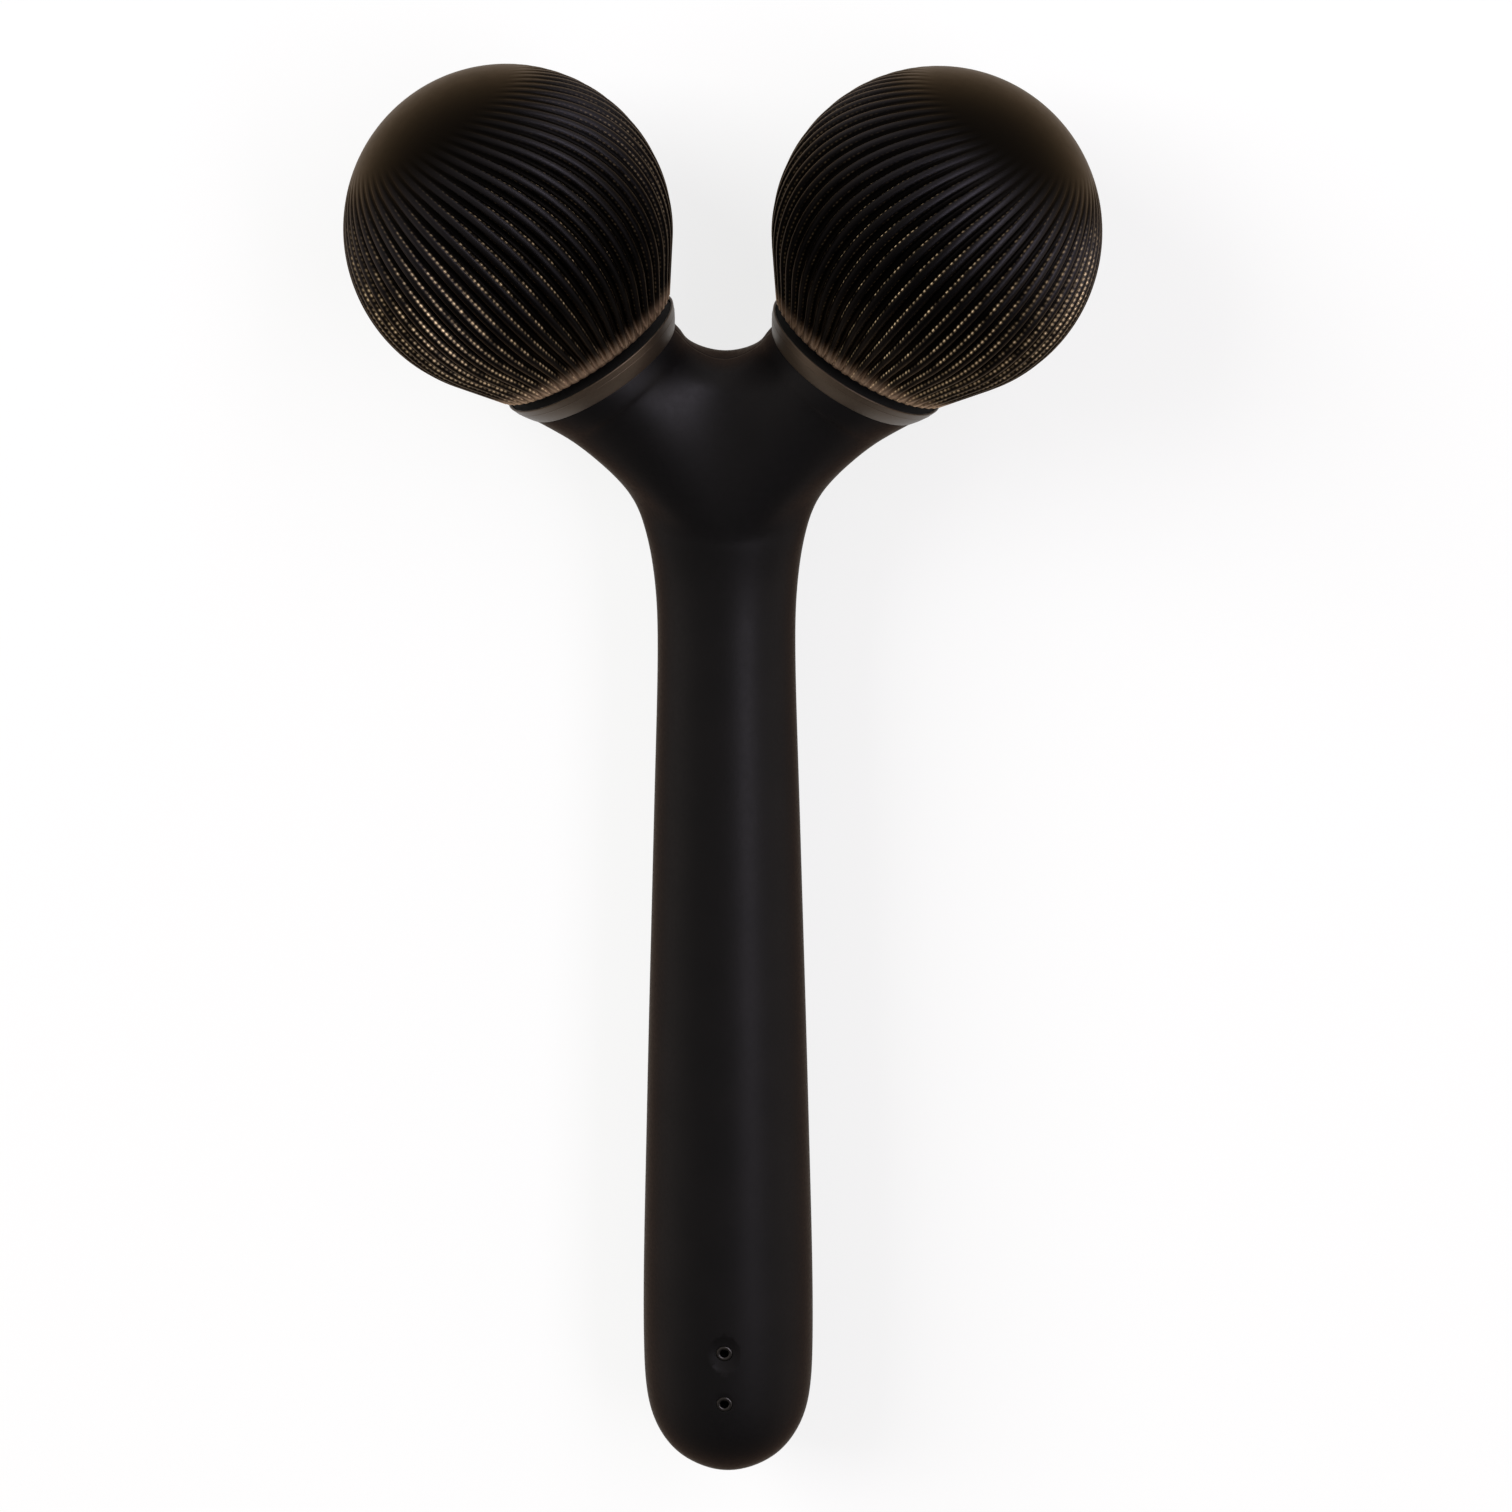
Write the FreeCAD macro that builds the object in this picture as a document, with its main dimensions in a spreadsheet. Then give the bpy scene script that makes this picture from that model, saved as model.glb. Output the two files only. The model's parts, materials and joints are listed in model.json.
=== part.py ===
import FreeCAD, Part
import math
import os

# Facial roller: a round tapered handle that forks into two short arms, each with a ball that turns
# on a fixed axle. Millimetres, X across, Y from the butt end to the balls, Z up from the table.

# Driving sizes: lengths in millimetres, angles in degrees, shares without a unit
SIZES = [
    ("butt_radius", 9.8, "largest radius of the handle, where it rests on the table"),
    ("butt_dome", 10.4, "length of the domed butt end"),
    ("waist_radius", 7.5, "smallest radius of the handle, below the fork"),
    ("fork_from_butt", 109.3, "butt end to the point where the arm axes meet"),
    ("waist_before_fork", 9.7, "waist to the fork point"),
    ("shell_wall", 1.8, "wall of the handle shells"),
    ("neck_share", 0.72, "second section of the stem, share of the way from fork to waist"),
    ("fork_flare_share", 0.0244, "extra half width at the fork point, share of an arm's stub"),
    ("shoulder_share", 0.249, "fork point to the shoulder section, share of an arm's stub"),
    ("shoulder_flare_share", 0.086, "extra half width at the shoulder, share of the same"),
    ("yoke_share", 0.474, "fork point to the yoke section, share of the same"),
    ("yoke_flare_share", 0.253, "extra half width at the yoke, share of the same"),
    ("tail_share", 0.611, "fork point to the last stem section, share of the same"),
    ("tail_flare_share", 0.4215, "extra half width at the last stem section, share of the same"),
    ("tail_depth_share", 0.93, "depth of the last stem section against the waist"),
    ("arm_angle", 31.0, "angle between an arm axis and the handle axis"),
    ("arm_length", 42.9, "fork point to a ball's centre"),
    ("crotch_ahead", 1.3, "bottom of the crotch ahead of the middle of the arm ends"),
    ("saddle_half_length", 7.9, "half length of the section under the crotch"),
    ("saddle_depth_share", 0.97, "depth of that section against its length"),
    ("elbow_share", 0.6, "middle section of an arm, share of the way from saddle to arm end"),
    ("elbow_bow", 1.2, "that section set back from the straight way"),
    ("elbow_half_length", 8.0, "half length of the middle section of an arm"),
    ("elbow_depth_share", 0.97, "depth of that section against its length"),
    ("arm_bore_radius", 3.6, "bore along an arm"),
    ("arm_bore_start", 5.0, "fork point to the start of that bore"),
    ("socket_radius", 4.4, "socket for the axle block in the arm's end"),
    ("socket_depth", 7.0, "depth of that socket"),
    ("overrun", 2.0, "how far a cutting tool runs past a face"),
    ("collar_height", 2.4, "height of a collar"),
    ("collar_mouth_radius", 10.3, "collar at its outer face"),
    ("collar_root_radius", 9.0, "collar where it meets the arm"),
    ("ball_radius", 17.0, "outside of a ball"),
    ("skirt_start", 9.7, "ball centre to where its straight skirt leaves the round"),
    ("base_reach", 14.85, "ball centre to its flat base, where the skirt ends"),
    ("ball_wall", 2.0, "wall of a ball"),
    ("groove_depth", 0.65, "depth of the grooves between a ball's ribs, halfway along"),
    ("groove_end_depth", 0.33, "depth of a groove at its ends, below the round"),
    ("groove_rise", 0.15, "groove cutter beyond the round"),
    ("groove_flank_angle", 31.0, "flank of a groove against its middle plane"),
    ("groove_start_angle", 40.0, "tip of a ball to the start of the grooves"),
    ("groove_end_angle", 131.0, "tip of a ball to the end of the grooves"),
    ("groove_lean_angle", 25.9, "turn of a groove's start round the ball, against its end"),
    ("groove_bow_angle", 4.1, "turn of a groove's middle round the ball, against its end"),
    ("ball_gap", 0.75, "gap between a collar and its ball"),
    ("hub_radius", 7.0, "outside of a hub"),
    ("hub_top", 11.0, "ball centre to the hub's outer end"),
    ("hub_socket_wall", 1.5, "wall of the ring inside the ball that centres the hub"),
    ("hub_socket_start", 8.0, "ball centre to the start of that ring"),
    ("bush_radius", 3.2, "outside of a bush"),
    ("bush_length", 6.0, "length of a bush"),
    ("bush_inset", 0.4, "bush set back from the hub's inner end"),
    ("outer_bush_start", 1.0, "ball centre to the start of the outer bush"),
    ("axle_radius", 2.0, "axle"),
    ("running_gap", 0.05, "radial play of a bush on its axle"),
    ("axle_end", 9.5, "ball centre to the end of the axle"),
    ("axle_collar_gap", 0.4, "play of the axle in the collar"),
    ("ring_bore_radius", 4.5, "counterbore in the hub for the retaining ring"),
    ("ring_radius", 3.4, "outside of the retaining ring"),
    ("ring_groove_radius", 1.6, "bottom of the axle's groove"),
    ("ring_width", 0.6, "thickness of the retaining ring"),
    ("ring_play", 0.3, "outer bush to the retaining ring"),
    ("ring_mouth", 2.6, "mouth of the retaining ring"),
    ("washer_radius", 4.6, "outside of the thrust washer"),
    ("washer_width", 0.6, "thickness of the thrust washer"),
    ("board_start", 5.5, "butt end to the board"),
    ("board_length", 28.6, "length of the board"),
    ("board_width", 12.0, "width of the board"),
    ("board_thick", 1.0, "thickness of the board"),
    ("screw_inset", 1.8, "board's end to the nearest board screw"),
    ("screw_clear", 0.9, "head of the first screw to the contact carrier"),
    ("post_radius", 1.6, "posts under the board"),
    ("screw_radius", 0.7, "shank of a board screw"),
    ("screw_reach", 4.0, "shank below the board"),
    ("screw_head_radius", 1.3, "head of a board screw"),
    ("screw_head_height", 0.8, "height of that head"),
    ("contact_pitch", 6.3, "lower to upper charging contact"),
    ("contact_radius", 0.9, "outside of a charging contact"),
    ("contact_bore", 0.5, "radius of its recess"),
    ("contact_bore_depth", 1.6, "depth of its recess"),
    ("contact_height", 3.2, "height of its cup"),
    ("contact_set_back", 0.08, "contact set back below the handle's crown"),
    ("pin_radius", 0.45, "pin under a contact"),
    ("carrier_rim", 2.6, "contact carrier beyond the middle of a contact"),
    ("carrier_width", 5.2, "width of the contact carrier"),
    ("cup_clear", 0.3, "contact carrier to the foot of the upper contact's cup"),
    ("magnet_clear", 0.55, "charging magnet to the cups beside it"),
    ("magnet_width", 3.2, "width of the charging magnet"),
    ("magnet_height", 1.4, "height of the charging magnet"),
    ("button_before_screw", 6.8, "power button to the second board screw"),
    ("button_radius", 3.0, "power button"),
    ("button_gap", 0.3, "gap round the power button"),
    ("button_flange", 0.8, "flange beyond the button"),
    ("flange_clear", 0.23, "flange's edge to the shell's inside"),
    ("flange_thick", 0.7, "thickness of the flange"),
    ("button_travel", 0.5, "travel of the power button"),
    ("button_stem_radius", 1.2, "stem on the button"),
    ("button_stem_length", 0.25, "stem beyond the flange"),
    ("switch_width", 4.0, "body of the switch"),
    ("plunger_radius", 1.0, "plunger of the switch"),
    ("plunger_height", 1.2, "height of the plunger"),
    ("stem_play", 0.1, "what is left between button and plunger at full travel"),
    ("chassis_lead", 1.4, "start of the chassis to the cell"),
    ("chassis_top", 1.5, "handle axis down to the chassis rim"),
    ("seat_gap", 0.05, "play between chassis and shell, and round the cell"),
    ("cell_gap", 2.2, "board's end to the cell"),
    ("cell_radius", 5.0, "battery cell"),
    ("cell_length", 44.0, "length of the battery cell"),
    ("cell_nub_radius", 1.6, "raised end of the cell"),
    ("cell_nub_height", 0.5, "height of that end"),
    ("pocket_room", 1.0, "room at both ends of the cell pocket"),
    ("tab_radius", 3.4, "tabs at the cell's ends"),
    ("tab_thick", 0.2, "thickness of the tabs"),
    ("motor_gap", 2.6, "cell's end to the motor"),
    ("motor_radius", 3.5, "motor case"),
    ("motor_length", 12.0, "length of the motor case"),
    ("shaft_radius", 0.75, "motor shaft"),
    ("shaft_depth", 5.0, "length of the shaft inside the case"),
    ("weight_radius", 3.1, "eccentric weight"),
    ("weight_length", 4.0, "length of the weight"),
    ("weight_play", 0.8, "case to the weight"),
    ("weight_rim", 1.3, "rim of the weight round its shaft"),
    ("lead_radius", 0.35, "leads"),
    ("lead_play", 0.08, "cell to a lead beside it"),
    ("lead_clear", 0.35, "battery leads to the head of the board screw between them"),
    ("lead_angle", 30.0, "motor leads above the middle plane"),
    ("lead_drop", 1.6, "board's end to where the leads land"),
]

doc = FreeCAD.newDocument("face_roller")
sheet = doc.addObject("Spreadsheet::Sheet", "sizes")
for row, (name, value, note) in enumerate(SIZES, start=1):
    sheet.set("A%d" % row, name)
    sheet.set("B%d" % row, str(value))
    sheet.set("C%d" % row, note)
    sheet.setAlias("B%d" % row, name)
doc.recompute()


def size(name):
    return float(sheet.get(name))


# Lengths that follow from several sizes, as formulas for the objects below
ARM_STUB = "(sizes.arm_length - sizes.base_reach - sizes.ball_gap - sizes.collar_height)"
TAPER_LENGTH = "(sizes.fork_from_butt - sizes.waist_before_fork - sizes.butt_dome)"

# A ball's skirt is a cone that leaves the round without an edge
SKIRT_TOP_RADIUS = "sqrt(sizes.ball_radius ^ 2 - sizes.skirt_start ^ 2)"
BASE_RADIUS = "(sizes.ball_radius ^ 2 - sizes.skirt_start * sizes.base_reach) / " + SKIRT_TOP_RADIUS

# The same lengths as numbers, for places
face_place = size("arm_length") - size("base_reach") - size("ball_gap")
arm_end = face_place - size("collar_height")
waist_place = size("fork_from_butt") - size("waist_before_fork")
slope = (size("butt_radius") - size("waist_radius")) / (waist_place - size("butt_dome"))

# Along the handle, each inner piece takes its place from the one before it
first_screw = size("board_start") + size("screw_inset")
carrier_start = first_screw + size("screw_head_radius") + size("screw_clear")
lower_contact = carrier_start + size("carrier_rim")
upper_contact = lower_contact + size("contact_pitch")
board_end = size("board_start") + size("board_length")
second_screw = board_end - size("screw_inset")
button_place = second_screw - size("button_before_screw")
cell_place = board_end + size("cell_gap")
cell_end = cell_place + size("cell_length")
motor_place = cell_end + size("motor_gap")
motor_end = motor_place + size("motor_length")

# The part rests on its butt end and on both balls, which gives the rise of the arms
axis_height = size("butt_radius")
arm_turn = math.radians(size("arm_angle"))
head_reach = size("arm_length") * math.cos(arm_turn)
head_tilt = math.asin((size("ball_radius") - axis_height) / head_reach)
whole_length = size("fork_from_butt") + head_reach * math.cos(head_tilt) + size("ball_radius")
butt_end = -whole_length / 2

cross_axis = FreeCAD.Vector(1, 0, 0)
handle_axis = FreeCAD.Vector(0, 1, 0)
up_axis = FreeCAD.Vector(0, 0, 1)
upright = FreeCAD.Rotation()
lengthwise = FreeCAD.Rotation(cross_axis, handle_axis.cross(cross_axis), handle_axis)
head_turn = FreeCAD.Rotation(cross_axis, math.degrees(head_tilt))
fork_point = FreeCAD.Vector(0, butt_end + size("fork_from_butt"), axis_height)


def on_handle(along, up=0, across=0, turn=upright):
    """A place measured from the butt end and from the handle axis."""
    return FreeCAD.Placement(FreeCAD.Vector(across, butt_end + along, axis_height + up), turn)


def in_head(across, reach):
    """A point in the plane of the two arms."""
    return fork_point + head_turn.multVec(FreeCAD.Vector(across, reach, 0))


def head_section(across, reach, heading):
    """A place in the plane of the arms, facing along the way from the left arm to the right one."""
    facing = head_turn.multVec(FreeCAD.Vector(math.sin(heading), math.cos(heading), 0))
    inward = head_turn.multVec(FreeCAD.Vector(-math.cos(heading), math.sin(heading), 0))
    turn = FreeCAD.Rotation(inward, facing.cross(inward), facing)
    return FreeCAD.Placement(in_head(across, reach), turn)


def on_arm(side, along):
    """A place on an arm's axis, measured from the fork point."""
    facing = head_turn.multVec(FreeCAD.Vector(side * math.sin(arm_turn), math.cos(arm_turn), 0))
    level = head_turn.multVec(up_axis)
    turn = FreeCAD.Rotation(level.cross(facing), level, facing)
    return FreeCAD.Placement(fork_point + facing * along, turn)


def solid(kind, name, place, **sizes):
    """A primitive whose sizes are bound to the sheet."""
    made = doc.addObject("Part::" + kind, name)
    for prop, formula in sizes.items():
        made.setExpression(prop, formula)
    made.Placement = place
    return made


def joined(name, pieces):
    made = doc.addObject("Part::MultiFuse", name)
    made.Shapes = pieces
    return made


def less(name, base, tools):
    made = doc.addObject("Part::Cut", name)
    made.Base = base
    made.Tool = tools[0] if len(tools) == 1 else joined(name + "_tools", tools)
    return made


def shared(name, base, tool):
    made = doc.addObject("Part::Common", name)
    made.Base = base
    made.Tool = tool
    return made


def loft(name, sections):
    made = doc.addObject("Part::Loft", name)
    made.Sections = sections
    made.Solid = True
    made.Ruled = False
    return made


nodes = {}


def keep(label, made):
    made.Label = label
    nodes[label] = made
    return made


# Handle, outside: domed butt, taper, stem that widens into the fork, and a saddle from arm to arm
dome = solid("Ellipsoid", "dome", on_handle(size("butt_dome"), turn=lengthwise),
             Radius1="sizes.butt_dome", Radius2="sizes.butt_radius", Radius3="sizes.butt_radius")
dome.Angle2 = 0
taper = solid("Cone", "taper", on_handle(size("butt_dome"), turn=lengthwise),
              Radius1="sizes.butt_radius", Radius2="sizes.waist_radius",
              Height=TAPER_LENGTH)

half_turn = FreeCAD.Rotation(cross_axis, math.degrees(head_tilt) / 2)
neck_place = size("fork_from_butt") - size("neck_share") * size("waist_before_fork")
stem_sections = [
    solid("Ellipse", "stem_waist", on_handle(waist_place, turn=lengthwise),
          MajorRadius="sizes.waist_radius", MinorRadius="sizes.waist_radius"),
    solid("Ellipse", "stem_neck", on_handle(neck_place, turn=lengthwise),
          MajorRadius="sizes.waist_radius", MinorRadius="sizes.waist_radius"),
    solid("Ellipse", "stem_fork", FreeCAD.Placement(fork_point, half_turn * lengthwise),
          MajorRadius="sizes.waist_radius + sizes.fork_flare_share * " + ARM_STUB,
          MinorRadius="sizes.waist_radius"),
]
for name in ("shoulder", "yoke", "tail"):
    place = FreeCAD.Placement(in_head(0, size(name + "_share") * arm_end), head_turn * lengthwise)
    depth = "sizes.waist_radius * sizes.tail_depth_share" if name == "tail" else "sizes.waist_radius"
    stem_sections.append(
        solid("Ellipse", "stem_" + name, place, MinorRadius=depth,
              MajorRadius="sizes.waist_radius + sizes.%s_flare_share * %s" % (name, ARM_STUB)))
stem = loft("stem", stem_sections)

quarter = math.pi / 2
end_across = arm_end * math.sin(arm_turn)
end_reach = arm_end * math.cos(arm_turn)
saddle_reach = end_reach + size("crotch_ahead") - size("saddle_half_length")
elbow_share = size("elbow_share")
elbow_turn = quarter + elbow_share * (arm_turn - quarter)
elbow_reach = saddle_reach + elbow_share * (end_reach - saddle_reach) - size("elbow_bow")
fork_sections = []
for name, side in (("left", -1), ("right", 1)):
    end_heading = quarter - side * (quarter - arm_turn)
    elbow_heading = quarter - side * (quarter - elbow_turn)
    end = solid("Ellipse", "arm_end_" + name, head_section(side * end_across, end_reach, end_heading),
                MajorRadius="sizes.collar_root_radius", MinorRadius="sizes.collar_root_radius")
    elbow = solid("Ellipse", "elbow_" + name,
                  head_section(side * elbow_share * end_across, elbow_reach, elbow_heading),
                  MajorRadius="sizes.elbow_half_length",
                  MinorRadius="sizes.elbow_half_length * sizes.elbow_depth_share")
    fork_sections += [end, elbow]
saddle = solid("Ellipse", "saddle", head_section(0, saddle_reach, quarter),
               MajorRadius="sizes.saddle_half_length",
               MinorRadius="sizes.saddle_half_length * sizes.saddle_depth_share")
left_end, left_elbow, right_end, right_elbow = fork_sections
fork = loft("fork", [left_end, left_elbow, saddle, right_elbow, right_end])
outside = joined("outside", [dome, taper, stem, fork])

# Handle, inside: the same run less the wall, a bore along each arm and a socket in each arm's end
dome_room = solid("Ellipsoid", "dome_room", on_handle(size("butt_dome"), turn=lengthwise),
                  Radius1="sizes.butt_dome - sizes.shell_wall",
                  Radius2="sizes.butt_radius - sizes.shell_wall",
                  Radius3="sizes.butt_radius - sizes.shell_wall")
dome_room.Angle2 = 0
taper_room = solid("Cone", "taper_room", on_handle(size("butt_dome"), turn=lengthwise),
                   Radius1="sizes.butt_radius - sizes.shell_wall",
                   Radius2="sizes.waist_radius - sizes.shell_wall",
                   Height=TAPER_LENGTH)
waist_room = solid("Cylinder", "waist_room", on_handle(waist_place, turn=lengthwise),
                   Radius="sizes.waist_radius - sizes.shell_wall",
                   Height="sizes.waist_before_fork + sizes.overrun")
rooms = [dome_room, taper_room, waist_room]
for name, side in (("left", -1), ("right", 1)):
    rooms.append(solid("Cylinder", "arm_bore_" + name, on_arm(side, size("arm_bore_start")),
                       Radius="sizes.arm_bore_radius",
                       Height=ARM_STUB + " - sizes.arm_bore_start"))
    rooms.append(solid("Cylinder", "arm_socket_" + name, on_arm(side, arm_end - size("socket_depth")),
                       Radius="sizes.socket_radius", Height="sizes.socket_depth + sizes.overrun"))
hollow = less("hollow", outside, rooms)

# The shells part in the handle's middle plane and, past the fork point, in the plane of the arms
level_half = solid("Box", "level_half", on_handle(-size("overrun"), 0, -whole_length),
                   Height="4 * sizes.butt_radius", Width="sizes.fork_from_butt + sizes.overrun")
level_half.Length = 2 * whole_length
tilted_half = solid("Box", "tilted_half",
                    FreeCAD.Placement(fork_point - cross_axis * whole_length, head_turn),
                    Height="4 * sizes.butt_radius", Width="2 * sizes.arm_length")
tilted_half.Length = 2 * whole_length
upper_half = joined("upper_half", [level_half, tilted_half])
upper_hollow = shared("upper_hollow", hollow, upper_half)
lower_hollow = less("lower_hollow", hollow, [upper_half])

# Charging contacts: cups with a round recess, each on a pin down to the board
board_top = size("board_thick") / 2
contact_holes = []
carrier_holes = []
for name, along in (("lower", lower_contact), ("upper", upper_contact)):
    crown = size("butt_radius") - slope * (along - size("butt_dome")) - size("contact_set_back")
    cup_foot = crown - size("contact_height")
    cup = solid("Cylinder", "cup_" + name, on_handle(along, cup_foot),
                Radius="sizes.contact_radius", Height="sizes.contact_height")
    pin = solid("Cylinder", "pin_" + name, on_handle(along, board_top), Radius="sizes.pin_radius")
    pin.Height = cup_foot - board_top
    recess = solid("Cylinder", "recess_" + name, on_handle(along, crown - size("contact_bore_depth")),
                   Radius="sizes.contact_bore", Height="sizes.contact_bore_depth + sizes.overrun")
    keep("contact_" + name, less("contact_" + name, joined("contact_body_" + name, [cup, pin]), [recess]))
    contact_holes.append(solid("Cylinder", "contact_hole_" + name, on_handle(along, cup_foot),
                               Radius="sizes.contact_radius", Height="sizes.contact_height + sizes.overrun"))
    carrier_holes.append(solid("Cylinder", "carrier_hole_" + name, on_handle(along),
                               Radius="sizes.pin_radius", Height="sizes.butt_radius"))
keep("back_shell", less("back_shell", upper_hollow, contact_holes))

# Front shell: two posts for the board and an opening for the power button
posts = []
pilots = []
post_foot = size("butt_radius") - size("shell_wall") / 2
board_screw_places = (("first", first_screw), ("second", second_screw))
for name, along in board_screw_places:
    post = solid("Cylinder", "post_" + name, on_handle(along, -post_foot), Radius="sizes.post_radius",
                 Height="sizes.butt_radius - sizes.shell_wall / 2 - sizes.board_thick / 2")
    posts.append(post)
    pilots.append(solid("Cylinder", "pilot_" + name, on_handle(along, -board_top - size("screw_reach")),
                        Radius="sizes.screw_radius", Height="sizes.screw_reach"))
button_hole = solid("Cylinder", "button_hole", on_handle(button_place, -2 * size("butt_radius")),
                    Radius="sizes.button_radius + sizes.button_gap", Height="2 * sizes.butt_radius")
front_body = joined("front_body", [lower_hollow] + posts)
keep("front_shell", less("front_shell", front_body, pilots + [button_hole]))

# Power button: a cap cut to the handle's surface, a flange inside the shell and a stem
flange_radius = size("button_radius") + size("button_flange")
flange_run = button_place + flange_radius - size("butt_dome")
inside_radius = size("butt_radius") - size("shell_wall") - slope * flange_run
flange_depth = math.sqrt(inside_radius ** 2 - flange_radius ** 2) - size("flange_clear")
cap_rod = solid("Cylinder", "cap_rod", on_handle(button_place, -2 * size("butt_radius")),
                Radius="sizes.button_radius")
cap_rod.Height = 2 * size("butt_radius") - flange_depth
cap = shared("cap", cap_rod, taper)
flange = solid("Cylinder", "flange", on_handle(button_place, -flange_depth),
               Radius="sizes.button_radius + sizes.button_flange", Height="sizes.flange_thick")
button_stem = solid("Cylinder", "button_stem", on_handle(button_place, -flange_depth),
                    Radius="sizes.button_stem_radius", Height="sizes.flange_thick + sizes.button_stem_length")
keep("power_button", joined("power_button", [cap, flange, button_stem]))
stem_end = flange_depth - size("flange_thick") - size("button_stem_length")
plunger_end = stem_end - size("button_travel") - size("stem_play")
switch_foot = plunger_end - size("plunger_height")

# Board, its screws and the switch under it
board_slab = solid("Box", "board_slab", on_handle(size("board_start"), -board_top, -size("board_width") / 2),
                   Length="sizes.board_width", Width="sizes.board_length", Height="sizes.board_thick")
board_holes = []
screws = []
for name, along in board_screw_places:
    board_holes.append(solid("Cylinder", "board_hole_" + name, on_handle(along, -size("board_thick")),
                             Radius="sizes.screw_radius", Height="2 * sizes.board_thick"))
    shank = solid("Cylinder", "shank_" + name, on_handle(along, -board_top - size("screw_reach")),
                  Radius="sizes.screw_radius", Height="sizes.screw_reach + sizes.board_thick")
    head = solid("Cylinder", "screw_head_" + name, on_handle(along, board_top),
                 Radius="sizes.screw_head_radius", Height="sizes.screw_head_height")
    screws.append(joined("screw_" + name, [shank, head]))
keep("main_board", less("main_board", board_slab, board_holes))
board_screws = doc.addObject("Part::Compound", "board_screws")
board_screws.Links = screws
keep("board_screws", board_screws)
half_switch = size("switch_width") / 2
switch_body = solid("Box", "switch_body", on_handle(button_place - half_switch, -switch_foot, -half_switch),
                    Length="sizes.switch_width", Width="sizes.switch_width")
switch_body.Height = switch_foot - board_top
plunger = solid("Cylinder", "plunger", on_handle(button_place, -plunger_end),
                Radius="sizes.plunger_radius", Height="sizes.plunger_height")
keep("tact_switch", joined("tact_switch", [switch_body, plunger]))

# Contact carrier on the board and the magnet on top of it; cup_foot is still the upper cup's
carrier_top = cup_foot - size("cup_clear")
carrier_block = solid("Box", "carrier_block", on_handle(carrier_start, board_top, -size("carrier_width") / 2),
                      Length="sizes.carrier_width", Width="sizes.contact_pitch + 2 * sizes.carrier_rim")
carrier_block.Height = carrier_top - board_top
keep("contact_carrier", less("contact_carrier", carrier_block, carrier_holes))
magnet_place = lower_contact + size("contact_radius") + size("magnet_clear")
keep("charge_magnet", solid("Box", "charge_magnet",
                            on_handle(magnet_place, carrier_top, -size("magnet_width") / 2),
                            Length="sizes.magnet_width", Height="sizes.magnet_height",
                            Width="sizes.contact_pitch - 2 * (sizes.contact_radius + sizes.magnet_clear)"))

# Chassis: fits the lower half of the handle and carries the cell and the motor
chassis_run = solid("Cone", "chassis_run", on_handle(size("butt_dome"), turn=lengthwise),
                    Radius1="sizes.butt_radius - sizes.shell_wall - sizes.seat_gap",
                    Radius2="sizes.waist_radius - sizes.shell_wall - sizes.seat_gap",
                    Height=TAPER_LENGTH)
chassis_start = cell_place - size("chassis_lead")
chassis_box = solid("Box", "chassis_box",
                    on_handle(chassis_start, -2 * size("butt_radius"), -size("butt_radius")),
                    Length="2 * sizes.butt_radius",
                    Width="sizes.chassis_lead + sizes.cell_length + sizes.motor_gap + sizes.motor_length",
                    Height="2 * sizes.butt_radius - sizes.chassis_top")
cell_pocket = solid("Cylinder", "cell_pocket",
                    on_handle(cell_place - size("pocket_room"), turn=lengthwise),
                    Radius="sizes.cell_radius + sizes.seat_gap",
                    Height="sizes.cell_length + 2 * sizes.pocket_room")
motor_pocket = solid("Cylinder", "motor_pocket", on_handle(motor_place, turn=lengthwise),
                     Radius="sizes.motor_radius + sizes.seat_gap",
                     Height="sizes.motor_length + sizes.overrun")
chassis_body = shared("chassis_body", chassis_run, chassis_box)
keep("chassis", less("chassis", chassis_body, [cell_pocket, motor_pocket]))

# Battery cell with a tab at each end
cell_can = solid("Cylinder", "cell_can", on_handle(cell_place, turn=lengthwise),
                 Radius="sizes.cell_radius", Height="sizes.cell_length - sizes.cell_nub_height")
cell_nub = solid("Cylinder", "cell_nub", on_handle(cell_end - size("cell_nub_height"), turn=lengthwise),
                 Radius="sizes.cell_nub_radius", Height="sizes.cell_nub_height")
keep("battery_cell", joined("battery_cell", [cell_can, cell_nub]))
keep("battery_tab_minus", solid("Cylinder", "battery_tab_minus",
                                on_handle(cell_place - size("tab_thick"), turn=lengthwise),
                                Radius="sizes.tab_radius", Height="sizes.tab_thick"))
keep("battery_tab_plus", solid("Cylinder", "battery_tab_plus", on_handle(cell_end, turn=lengthwise),
                               Radius="sizes.tab_radius", Height="sizes.tab_thick"))

# Vibration motor: case, shaft and eccentric weight
case_can = solid("Cylinder", "case_can", on_handle(motor_place, turn=lengthwise),
                 Radius="sizes.motor_radius", Height="sizes.motor_length")
case_bore = solid("Cylinder", "case_bore", on_handle(motor_end - size("shaft_depth"), turn=lengthwise),
                  Radius="sizes.shaft_radius + sizes.running_gap", Height="sizes.shaft_depth + sizes.overrun")
keep("motor_case", less("motor_case", case_can, [case_bore]))
shaft_start = motor_end - size("shaft_depth") + size("running_gap")
keep("motor_shaft", solid("Cylinder", "motor_shaft", on_handle(shaft_start, turn=lengthwise),
                          Radius="sizes.shaft_radius",
                          Height="sizes.shaft_depth - sizes.running_gap + sizes.weight_play"
                                 " + sizes.weight_length"))
weight_place = motor_end + size("weight_play")
weight_disc = solid("Cylinder", "weight_disc", on_handle(weight_place, turn=lengthwise),
                    Radius="sizes.weight_radius", Height="sizes.weight_length")
weight_half = solid("Box", "weight_half",
                    on_handle(weight_place, -2 * size("weight_radius"), -size("weight_radius")),
                    Length="2 * sizes.weight_radius", Width="sizes.weight_length",
                    Height="2 * sizes.weight_radius")
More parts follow.
